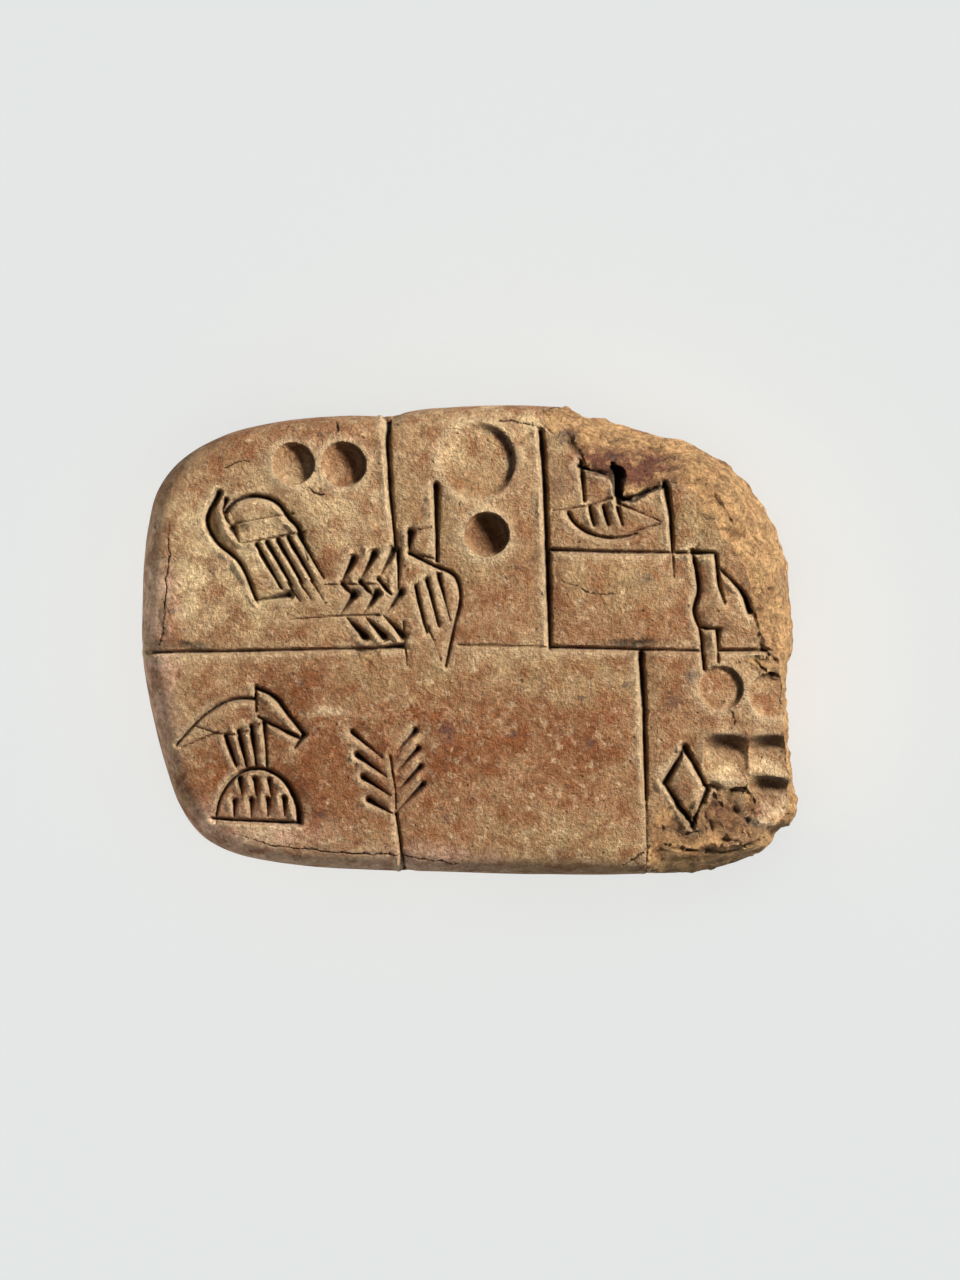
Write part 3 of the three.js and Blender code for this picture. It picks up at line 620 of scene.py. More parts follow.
def carvePresses(x, y):
    # Depth, the collar pushed up round it, and the painted shadow at the foot of the wall on the side it
    # leans to.
    depth, collar, wallShadow = [np.zeros_like(x) for _ in range(3)]
    for press in presses:
        radius, turn = press["radius"], math.radians(press["towards"])
        dx, dy = x - press["at"][0], y - press["at"][1]
        near = np.nonzero(np.hypot(dx, dy) < radius + 2.5)[0]
        dx, dy = dx[near], dy[near]
        reach = np.hypot(dx, dy) / radius * (1 + 0.025 * uneven(dx + 9, dy, 2.0, 2))
        along = (dx * math.cos(turn) + dy * math.sin(turn)) / radius
        facing = along / np.maximum(reach, 1e-6)
        floor = np.maximum(0, press["deep"] + math.tan(math.radians(press["lean"])) * along * radius)
        if press.get("scoop"):
            across = (dy * math.cos(turn) - dx * math.sin(turn)) / radius
            trough = clipped(1 - np.abs(across * (1 + 0.05 * uneven(dx, dy + 5, 1.5, 2))) ** 3.2) ** 0.7
            wall = eased(clipped((1.0 - along - 0.16 * across ** 2) / 0.62))
            pressed = floor * trough * wall * clipped((along + 1.15) / 0.5)
            wallShadowShare = clipped((along - 0.3) / 0.4) * clipped((1.02 - along) / 0.1) * trough
        else:
            wall = eased(clipped((1.03 - reach) / (0.27 - 0.17 * facing)))
            bowl = np.sqrt(clipped(1 - reach ** 2))
            pressed = floor * (wall * (1 - press["bowl"]) + bowl * press["bowl"])
            underWall = clipped((reach - 0.74) / 0.14) * (reach < 1.02)
            wallShadowShare = underWall * clipped(1.4 * facing - 0.2)
        beyond = np.clip(reach - 1.0, 0, None) * radius
        raised = (collarLeast + collarShare * press["deep"]) * (0.7 - 0.3 * facing)
        raised = raised * np.exp(-(beyond / collarWidth) ** 2)
        keepHighest(depth, near, pressed)
        keepHighest(collar, near, raised * np.exp(-pressed / 0.2))
        keepHighest(wallShadow, near, wallShadowShare)
    return depth, collar, wallShadow


def swellHeight(x, y):
    height = np.zeros_like(x)
    for ridge in ridges:
        near = within(ridge["path"], x, y, ridge["half"] + 0.2)
        distance, share, _ = alongPath(ridge["path"], x[near], y[near])
        puff = ridge["high"] * clipped(1 - (distance / ridge["half"]) ** 2) ** 0.7
        keepHighest(height, near, puff * clipped(0.35 + 4 * share * (1 - share)))
    for swell in swells:
        along, up = turnedSpan(swell, x, y)
        bulge = 1 - along ** 2 - up ** 2 + 0.25 * uneven(x, y + 20, 1.7, 3)
        height = np.maximum(height, swell["high"] * clipped(bulge) ** 0.75)
    return height


def carveFlakes(x, y):
    depth = np.zeros_like(x)
    for flake in flakes:
        along, up = turnedSpan(flake, x, y)
        reach = np.hypot(along, up) + 0.22 * uneven(x, y, 1.6, 4)
        lens = clipped(1 - reach ** 2) ** 0.45
        depth = np.maximum(depth, flake["deep"] * lens * (0.85 + 0.3 * uneven(x + 30, y, 1.2, 3)))
    return depth


def rimReach(angle, share):
    # Radius on the face, by share of the way over the rounded edge and then down the fracture.
    whole, rim, inset = wholeRadius(angle), rimRadius(angle), pillow["faceInset"]
    edge = np.minimum(raggedEdge(angle), whole)
    shoulder = whole - inset
    turnAtEdge = np.arcsin(clipped((edge - shoulder) / inset))
    rounded = turnAtEdge * (inset + pillow["faceRise"]) / 2
    top = faceHeight(np.cos(angle) * edge, np.sin(angle) * edge)
    torn = np.hypot(np.maximum(rim - edge, 0), top - pillow["rimHeight"])
    roundedShare = rounded / np.maximum(rounded + torn, 1e-6)
    turn = turnAtEdge * clipped(share / np.maximum(roundedShare, 1e-6))
    onTear = clipped((share - roundedShare) / np.maximum(1 - roundedShare, 1e-6))
    out = np.interp(onTear, (0, 0.2, 0.46, 0.75, 1), breakage["out"])
    overTear = edge + np.maximum(rim - edge, 0) * out
    return np.where(share < roundedShare, np.minimum(shoulder, edge) + inset * np.sin(turn), overTear)


def placeOf(u, v, side):
    # Where a place on the unit square lies on the tablet, with the masks that the finish reads.
    ring = np.maximum(np.abs(u), np.abs(v))
    angle = np.arctan2(v * pillow["half"][1], u * pillow["half"][0])
    radius = rimRadius(angle)
    inset = np.where(side == 0, pillow["faceInset"], pillow["backInset"])
    flat = 1 - meshing["rimShare"]
    rimwards = clipped((ring - flat) / meshing["rimShare"])
    inner = np.where(side == 0, np.minimum(raggedEdge(angle), wholeRadius(angle) - inset), radius - inset)
    onBackRim = radius - inset * (1 - np.sin(rimwards * math.pi / 2))
    onRim = np.where(side == 0, rimReach(angle, rimwards), onBackRim)
    reach = np.where(ring > flat, onRim, inner * ring / flat)
    x, y = np.cos(angle) * reach, np.sin(angle) * reach
    z = np.empty_like(x)
    masks = {name: np.zeros_like(x) for name in ("furrow", "lip", "crack", "pressed", "broken")}
    face, back = side == 0, side == 1
    z[back] = np.maximum(backHeight(x[back], y[back]), breakFoot(x[back], y[back]))
    isBroken = (outerRadius(angle) < wholeRadius(angle)) & (z > backHeight(x, y) + 0.01)
    masks["broken"][back] = isBroken[back]

    fx, fy = x[face], y[face]
    whole = faceHeight(fx, fy)
    share = edgeShare(fx, fy, pillow["faceInset"])
    outwards = np.stack([np.cos(angle[face]), np.sin(angle[face])], 1)
    square = pillow["faceSquareness"]
    lean = ((1 - share) ** (square - 1) / pillow["faceInset"])[:, None] * outwards
    upright = (1 - (1 - share) ** square) ** (1 - 1 / square) / pillow["faceRise"]
    normal = np.column_stack([lean, upright + 1e-9])
    normal /= np.linalg.norm(normal, axis=1)[:, None]
    furrowDepth, shadedSideDepth, sag, lip = carveMarks(fx, fy)
    crackDepth = carveCracks(fx, fy)
    pressDepth, collar, wallShadow = carvePresses(fx, fy)
    flakeDepth = carveFlakes(fx, fy)
    raised = (lip + collar) * np.exp(-(furrowDepth + pressDepth) / 0.15)
    offset = raised + swellHeight(fx, fy) - sag
    offset = offset - np.maximum(furrowDepth, crackDepth) - pressDepth - flakeDepth
    moved = np.column_stack([fx, fy, whole]) + normal * offset[:, None]
    fracture = breakHeight(fx, fy)
    torn = tearDepth(fx, fy)
    cut = np.minimum(moved[:, 2], fracture) - torn
    isCut = clipped((moved[:, 2] - fracture) / 0.25)
    x[face], y[face], z[face] = moved[:, 0], moved[:, 1], cut
    left = 1 - isCut
    # Painted shade, with dirt: furrow walls on the hand's side and the foot of each press's wall on its
    # leaning side are painted dark.
    masks["furrow"][face] = np.maximum(clipped(shadedSideDepth / 0.7) ** 1.3, 0.75 * wallShadow) * left
    # Painted highlight: the lit far wall of each furrow is painted cream, and lips are painted paler, partly
    # as worn clay and partly as highlight.
    litWall = clipped((furrowDepth - shadedSideDepth) / 0.35)
    masks["lip"][face] = np.maximum(clipped(raised / 0.2), litWall) * left
    masks["crack"][face] = np.maximum(clipped(crackDepth / 0.2) * left, clipped(torn / 0.8))
    masks["pressed"][face] = clipped((pressDepth - 0.8) / 1.2) * left
    masks["broken"][face] = np.maximum(isCut, clipped(flakeDepth / 0.25))
    return np.column_stack([x, y, z]), masks


def wantedEdge(place, side):
    # The longest edge allowed at a place: short in furrows and on the break, longer with distance.
    x, y = place[:, 0], place[:, 1]
    face = side == 0
    wanted = np.where(face, meshing["coarsestFace"], meshing["coarsestBack"])
    for mark in marks + [{"path": np.array(p, float), "wide": 0.3} for p in cracks["paths"]]:
        near = within(mark["path"], x, y, 2.6)
        near = near[face[near]]
        distance, _, facing = alongPath(mark["path"], x[near], y[near])
        beyond = np.clip(distance - mark["wide"] / 2 - 0.05, 0, None)
        onSlope = np.sign(facing) * distance > 0.12 * mark["wide"]
        finest = meshing["finest"] * np.where(onSlope, meshing["onSlope"], 1)
        wanted[near] = np.minimum(wanted[near], finest + meshing["grows"] * beyond)
    for press in presses:
        gap = np.hypot(x - press["at"][0], y - press["at"][1]) / press["radius"] - 0.9
        beyond = np.clip(np.abs(gap) * press["radius"] - 0.45, 0, None)
        near = face & (beyond < 3)
        wanted[near] = np.minimum(wanted[near], meshing["pressEdge"] + meshing["grows"] * beyond[near])

    def limit(where, longest):
        return np.where(where, np.minimum(wanted, longest), wanted)

    angle, reach = np.arctan2(y, x), np.hypot(x, y)
    whole, outer = wholeRadius(angle), outerRadius(angle)
    wanted = limit(face & (whole - reach < 4), meshing["rimEdge"])
    pastEdge = reach - np.minimum(edgeRadius(angle), whole + 50)
    beyond = np.clip(-pastEdge - 0.4, 0, None)
    finest = np.where(face, 1, meshing["brokenFoot"]) * meshing["brokenEdge"]
    wanted = limit(face & (edgeRadius(angle) < unbroken), finest + meshing["grows"] * beyond)
    return limit(~face & (outer < whole) & (place[:, 2] > 1.0) & (outer - reach < 4), finest)


def gridLines(cells):
    flat = 1 - meshing["rimShare"]
    rings = np.linspace(flat, 1, meshing["rimRings"] + 1)[1:]
    return np.concatenate([-rings[::-1], np.linspace(-flat, flat, cells + 1), rings])


def startMesh():
    # A square grid on each side, joined at the rim.
    across, up = gridLines(meshing["across"]), gridLines(meshing["up"])
    wide, high = len(across), len(up)
    u, v = [a.ravel() for a in np.meshgrid(across, up)]
    onRim = np.maximum(np.abs(u), np.abs(v)) > 1 - 1e-9
    faceIndex = np.arange(wide * high)
    backIndex = faceIndex.copy()
    inner = np.nonzero(~onRim)[0]
    backIndex[inner] = wide * high + np.arange(len(inner))
    triangles = []
    for j in range(high - 1):
        for i in range(wide - 1):
            corners = [j * wide + i, j * wide + i + 1, (j + 1) * wide + i + 1, (j + 1) * wide + i]
            first = 0 if (i < wide / 2) == (j < high / 2) else 1
            a, b, c, d = [corners[(k + first) % 4] for k in range(4)]
            triangles += [[faceIndex[k] for k in t] for t in ((a, b, c), (a, c, d))]
            triangles += [[backIndex[k] for k in t] for t in ((a, c, b), (a, d, c))]
    u, v = np.concatenate([u, u[inner]]), np.concatenate([v, v[inner]])
    side = np.concatenate([np.zeros(wide * high, int), np.ones(len(inner), int)])
    return u, v, side, np.array(triangles)


def splitEdges(u, v, side, place, triangles):
    # One round: every edge that is too long is halved, and each triangle's longest edge goes first.
    start, end = triangles, triangles[:, [1, 2, 0]]
    edges = np.minimum(start, end) * len(u) + np.maximum(start, end)
    unique, inverse = np.unique(edges, return_inverse=True)
    inverse = inverse.reshape(-1, 3)
    a, b = unique // len(u), unique % len(u)
    length = np.linalg.norm(place[a] - place[b], axis=1)
    middleU, middleV = (u[a] + u[b]) / 2, (v[a] + v[b]) / 2
    middleSide = np.maximum(side[a], side[b])
    middle = (place[a] + place[b]) / 2
    spread = np.hypot((u[a] - u[b]) * pillow["half"][0], (v[a] - v[b]) * pillow["half"][1])
    split = (length > wantedEdge(middle, middleSide)) & (spread > meshing["shortest"])
    if not split.any():
        return None
    longest = length[inverse].argmax(1)
    longestEdge = inverse[np.arange(len(inverse)), longest]
    while True:
        more = split[inverse].any(1) & ~split[longestEdge]
        if not more.any():
            break
        split[longestEdge[more]] = True
    number = np.full(len(unique), -1)
    number[split] = len(u) + np.arange(split.sum())
    turned = (longest[:, None] + np.arange(3)) % 3
    corner = np.take_along_axis(triangles, turned, 1)
    half = number[np.take_along_axis(inverse, turned, 1)]
    v0, v1, v2 = corner.T
    m0, m1, m2 = half.T
    whole, one = m0 < 0, (m0 >= 0) & (m1 < 0) & (m2 < 0)
    two, three, four = (m1 >= 0) & (m2 < 0), (m1 < 0) & (m2 >= 0), (m1 >= 0) & (m2 >= 0)
    pieces = [triangles[whole]]
    for mask, sets in (
        (one, ((v0, m0, v2), (m0, v1, v2))),
        (two, ((v0, m0, v2), (m0, v1, m1), (m0, m1, v2))),
        (three, ((m0, v1, v2), (v0, m0, m2), (m0, v2, m2))),
        (four, ((v0, m0, m2), (m0, v2, m2), (m0, v1, m1), (m0, m1, v2))),
    ):
        pieces += [np.stack(s, 1)[mask] for s in sets]
    u, v = np.concatenate([u, middleU[split]]), np.concatenate([v, middleV[split]])
    side = np.concatenate([side, middleSide[split]])
    added, _ = placeOf(middleU[split], middleV[split], middleSide[split])
    return u, v, side, np.vstack([place, added]), np.vstack(pieces)


def shapeTablet():
    u, v, side, triangles = startMesh()
    place, _ = placeOf(u, v, side)
    for _ in range(meshing["rounds"]):
        finer = splitEdges(u, v, side, place, triangles)
        if finer is None:
            break
        u, v, side, place, triangles = finer
    place, masks = placeOf(u, v, side)
    return place, triangles, masks


place, triangles, masks = shapeTablet()
print("stage: tablet shaped,", len(triangles), "triangles", flush=True)


def meshObject(name, places, faces):
    mesh = bpy.data.meshes.new(name)
    mesh.from_pydata(places.tolist(), [], faces.tolist())
    mesh.polygons.foreach_set("use_smooth", np.ones(len(faces), bool))
    made = bpy.data.objects.new(name, mesh)
    scene.collection.objects.link(made)
    return made


tablet = meshObject("tabletClay", place * mm, triangles)
for name, values in masks.items():
    tablet.data.attributes.new(name, "FLOAT", "POINT").data.foreach_set("value", values.astype(np.float32))


def addNode(tree, kind, settings=None, inputs=None):
    node = tree.nodes.new(kind)
    for key, value in (settings or {}).items():
        setattr(node, key, value)
    for key, value in (inputs or {}).items():
        if isinstance(value, bpy.types.NodeSocket):
            tree.links.new(value, node.inputs[key])
        else:
            node.inputs[key].default_value = value
    return node


def mathNode(tree, operation, a, b=0.0, clamp=False):
    node = addNode(tree, "ShaderNodeMath", {"operation": operation, "use_clamp": clamp}, {0: a, 1: b})
    return node.outputs[0]


def times(tree, a, b):
    return mathNode(tree, "MULTIPLY", a, b)


def vectorMath(tree, operation, *values, **named):
    inputs = {**dict(enumerate(values)), **named}
    return addNode(tree, "ShaderNodeVectorMath", {"operation": operation}, inputs).outputs[0]


def noiseNode(tree, vector, scale, detail, roughness, seed):
    return addNode(tree, "ShaderNodeTexNoise", {"noise_dimensions": "4D"}, {
        "Vector": vector, "W": seed, "Scale": scale, "Detail": detail, "Roughness": roughness}).outputs


# Weathering: what drying, handling and breaking did to the surface, as geometry nodes.
weather = {
    "Lump Height": 0.10 * mm, "Lump Size": 7.0 * mm,
    "Wear Height": 0.03 * mm, "Wear Size": 1.3 * mm,
    "Break Height": 1.0 * mm, "Break Size": 2.8 * mm,
    "Crumb Height": 0.4 * mm, "Crumb Size": 1.7 * mm,
    "Seed": 4.0,
}


def weatheringTree(settings, material):
    tree = bpy.data.node_groups.new("weathering", "GeometryNodeTree")
    tree.interface.new_socket("Geometry", in_out="INPUT", socket_type="NodeSocketGeometry")
    for name, value in settings.items():
        tree.interface.new_socket(name, in_out="INPUT", socket_type="NodeSocketFloat").default_value = value
    tree.interface.new_socket("Geometry", in_out="OUTPUT", socket_type="NodeSocketGeometry")
    given = addNode(tree, "NodeGroupInput").outputs
    position = addNode(tree, "GeometryNodeInputPosition").outputs[0]
    normal = addNode(tree, "GeometryNodeInputNormal").outputs[0]
    named = addNode(tree, "GeometryNodeInputNamedAttribute", {"data_type": "FLOAT"}, {"Name": "broken"})
    broken = named.outputs["Attribute"]

    def relief(height, size, detail, roughness, shift):
        scale = mathNode(tree, "DIVIDE", 1.0, given[size])
        seed = mathNode(tree, "ADD", given["Seed"], shift)
        noise = noiseNode(tree, position, scale, detail, roughness, seed)["Fac"]
        level = mathNode(tree, "SUBTRACT", noise, 0.5)
        return times(tree, times(tree, level, 2.0), given[height])

    handled = mathNode(tree, "ADD", relief("Lump Height", "Lump Size", 2.0, 0.5, 0.0),
                       relief("Wear Height", "Wear Size", 3.0, 0.6, 3.0))
    crumbs = addNode(tree, "ShaderNodeTexVoronoi", {"feature": "SMOOTH_F1", "voronoi_dimensions": "3D"}, {
        "Vector": position, "Scale": mathNode(tree, "DIVIDE", 1.0, given["Crumb Size"]), "Smoothness": 0.35})
    crumb = times(tree, mathNode(tree, "SUBTRACT", 0.45, crumbs.outputs["Distance"]), given["Crumb Height"])
    torn = mathNode(tree, "ADD", relief("Break Height", "Break Size", 5.0, 0.62, 6.0), crumb)
    height = mathNode(tree, "ADD", handled, times(tree, torn, broken))
    offset = vectorMath(tree, "SCALE", normal, Scale=height)
    moved = addNode(tree, "GeometryNodeSetPosition", None, {"Geometry": given["Geometry"], "Offset": offset})
    real = addNode(tree, "GeometryNodeRealizeInstances", None, {"Geometry": moved.outputs[0]})
    painted = addNode(tree, "GeometryNodeSetMaterial", None, {
        "Geometry": real.outputs[0], "Material": material})
    out = addNode(tree, "NodeGroupOutput")
    tree.links.new(painted.outputs[0], out.inputs[0])
    return tree


def applyNodes(piece, tree, settings):
    modifier = piece.modifiers.new(tree.name, "NODES")
    modifier.node_group = tree
    for item in tree.interface.items_tree:
        if item.in_out == "INPUT" and item.name in settings:
            modifier[item.identifier] = settings[item.name]
    evaluated = piece.evaluated_get(bpy.context.evaluated_depsgraph_get())
    made = bpy.data.meshes.new_from_object(evaluated)
    piece.modifiers.remove(modifier)
    old = piece.data
    piece.data = made
    bpy.data.meshes.remove(old)


# Colours are as read off clay of this kind, given as they look on a screen.
def screenColour(red, green, blue):
    linear = [c / 255 / 12.92 if c <= 10 else ((c / 255 + 0.055) / 1.055) ** 2.4 for c in (red, green, blue)]
    return (*linear, 1.0)


finish = {
    "tan": screenColour(178, 145, 106),
    "sand": screenColour(222, 194, 148),
    "olive": screenColour(170, 144, 102),
    "russet": screenColour(134, 80, 46),
    "roseAndRimLight": screenColour(236, 192, 166),
    "ochre": screenColour(230, 184, 128),
    "spall": screenColour(128, 82, 62),
    "cream": screenColour(226, 200, 160),
    "soot": screenColour(74, 66, 70),
    "dirtAndShade": screenColour(42, 27, 18),
    "umber": screenColour(104, 70, 46),
    "roughness": 0.9, "sheen": 0.25,
    "skinHeight": 0.85, "grainHeight": 0.8, "crumbHeight": 2.4, # millimetres, as are the depths
    "pitDepth": 0.35, "fibreDepth": 0.35,
}

# Stains and firing colours on the face: colour, middle and half-size in millimetres, and strength.
stains = [
    ("sand", (-33, 8), (9, 12), 0.8),
    ("sand", (-22, 16), (14, 9), 0.45),
    ("sand", (-12, -10), (9, 3.5), 0.4),
    ("sand", (-20, 25), (22, 5), 0.25),
    ("sand", (2, 26), (12, 5), 0.6),
    ("sand", (-17, -9), (5, 3), 0.4),
    ("sand", (2, -3), (6, 2), 0.25),
    ("sand", (36, -17), (6, 6), 0.5),
    ("russet", (-6, -14), (17, 8), 0.95),
    ("russet", (13, -13), (12, 8), 0.8),
    ("russet", (-23, -8), (12, 6), 0.85),
    ("russet", (-28, -19), (10, 7), 0.95),
    ("russet", (1, 4), (7, 4), 0.6),
    ("russet", (-22, 25.5), (14, 4), 0.7),
    ("russet", (-6, 21), (3.2, 6), 0.6),
    ("russet", (-18, -20), (7, 6), 0.7),
    ("russet", (17, 5), (6, 3.5), 0.5),
    ("russet", (-33, 1), (5, 4), 0.35),
    # Pale rose on the left and lower rims: a pink tone of the clay, and painted light that lifts rims turned
    # away from the key softbox.
    ("roseAndRimLight", (-41, -6), (3.5, 24), 0.7),
    ("roseAndRimLight", (-30, -26), (14, 5), 0.6),
    ("roseAndRimLight", (-10, -28.5), (14, 3), 0.6),
    ("olive", (-24, 5), (7, 5), 0.5),
    ("olive", (-3, 14), (7, 9), 0.5),
    ("olive", (19, 8), (9, 4), 0.5),
    ("olive", (14, -4.5), (11, 3), 0.6),
    ("olive", (-8, -5), (10, 3), 0.5),
    ("olive", (-18, -27), (9, 2.5), 0.5),
    ("olive", (14, -26), (12, 4), 0.6),
    ("olive", (29, 14), (4.5, 4.5), 0.8),
    ("sand", (33.6, -16.4), (2.8, 2.0), 0.8),
    ("cream", (38.9, -16.2), (2.6, 1.6), 0.5),
    ("cream", (39.6, -21.6), (2.8, 2.2), 0.85),
]

# Stains that lie over the fracture too.
lateStains = [
    ("spall", (16.8, 22.6), (3.8, 2.5), 1.5),
    ("spall", (22.4, 22.2), (4.6, 2.6), 1.3),
    ("spall", (34.2, -22.6), (4.8, 2.6), 1.0),
    ("spall", (27.6, -24.6), (4.4, 1.8), 0.55),
    ("soot", (36.4, -23.4), (1.6, 0.9), 0.55),
    ("soot", (29.6, -24.6), (1.4, 0.8), 0.5),
    ("soot", (32.0, -20.4), (1.8, 0.8), 0.45),
    ("soot", (12.4, 26.0), (1.5, 1.3), 0.9),
    ("soot", (18.2, 23.6), (0.9, 0.6), 0.5),
    ("soot", (40.4, 7.6), (1.0, 1.6), 0.4),
    ("soot", (12.2, 20.6), (1.4, 2.2), 0.3),
    ("soot", (-3, -12.2), (1.3, 1.6), 0.45),
    ("soot", (-3.6, -22.9), (0.9, 0.8), 0.55),
    ("soot", (15.6, -13.2), (0.6, 0.6), 0.5),
    ("soot", (28.3, -4.6), (0.9, 1.2), 0.5),
    ("soot", (26.6, -7.6), (1, 1.2), 0.5),
    ("soot", (22.5, 7.8), (0.9, 0.7), 0.4),
    ("cream", (-18, -9.2), (2.2, 0.8), 0.8),
    ("cream", (-27.6, -25), (2.4, 1), 0.6),
    ("dirtAndShade", (-36.6, -0.6), (4.4, 0.75), 1.0),
    ("dirtAndShade", (-39.4, 3.0), (0.6, 3.4), 0.7),
    ("dirtAndShade", (20.5, -0.3), (4.2, 0.65), 0.9),
    # Painted shade on the slope at the sheaf figure's right side.
    ("dirtAndShade", (-23.4, 14.2), (1.7, 1.4), 0.5),
    ("dirtAndShade", (-21.4, 11.2), (1.4, 2.4), 0.4),
]


def stainGroup():
    tree = bpy.data.node_groups.new("softStain", "ShaderNodeTree")
    for name in ("Vector", "Middle", "Half Size"):
        tree.interface.new_socket(name, in_out="INPUT", socket_type="NodeSocketVector")
    tree.interface.new_socket("Strength", in_out="INPUT", socket_type="NodeSocketFloat")
    tree.interface.new_socket("Mask", in_out="OUTPUT", socket_type="NodeSocketFloat")
    given = addNode(tree, "NodeGroupInput").outputs
    away = vectorMath(tree, "SUBTRACT", given["Vector"], given["Middle"])
    scaled = vectorMath(tree, "DIVIDE", away, given["Half Size"])
    reach = addNode(tree, "ShaderNodeVectorMath", {"operation": "LENGTH"}, {0: scaled})
    soft = addNode(tree, "ShaderNodeMapRange", {"interpolation_type": "SMOOTHSTEP"}, {
        "Value": reach.outputs["Value"], "From Min": 1.35, "From Max": 0.35, "To Min": 0.0, "To Max": 1.0})
    mask = times(tree, soft.outputs[0], given["Strength"])
    out = addNode(tree, "NodeGroupOutput")
    tree.links.new(mask, out.inputs["Mask"])
    return tree


def mixColour(tree, factor, a, b, blend="MIX"):
    node = addNode(tree, "ShaderNodeMix", {"data_type": "RGBA", "blend_type": blend})
    for index, value in ((0, factor), (6, a), (7, b)):
        if isinstance(value, bpy.types.NodeSocket):
            tree.links.new(value, node.inputs[index])
        else:
            node.inputs[index].default_value = value
    return node.outputs[2]


def attribute(tree, name):
    return addNode(tree, "ShaderNodeAttribute", {"attribute_name": name}).outputs["Fac"]


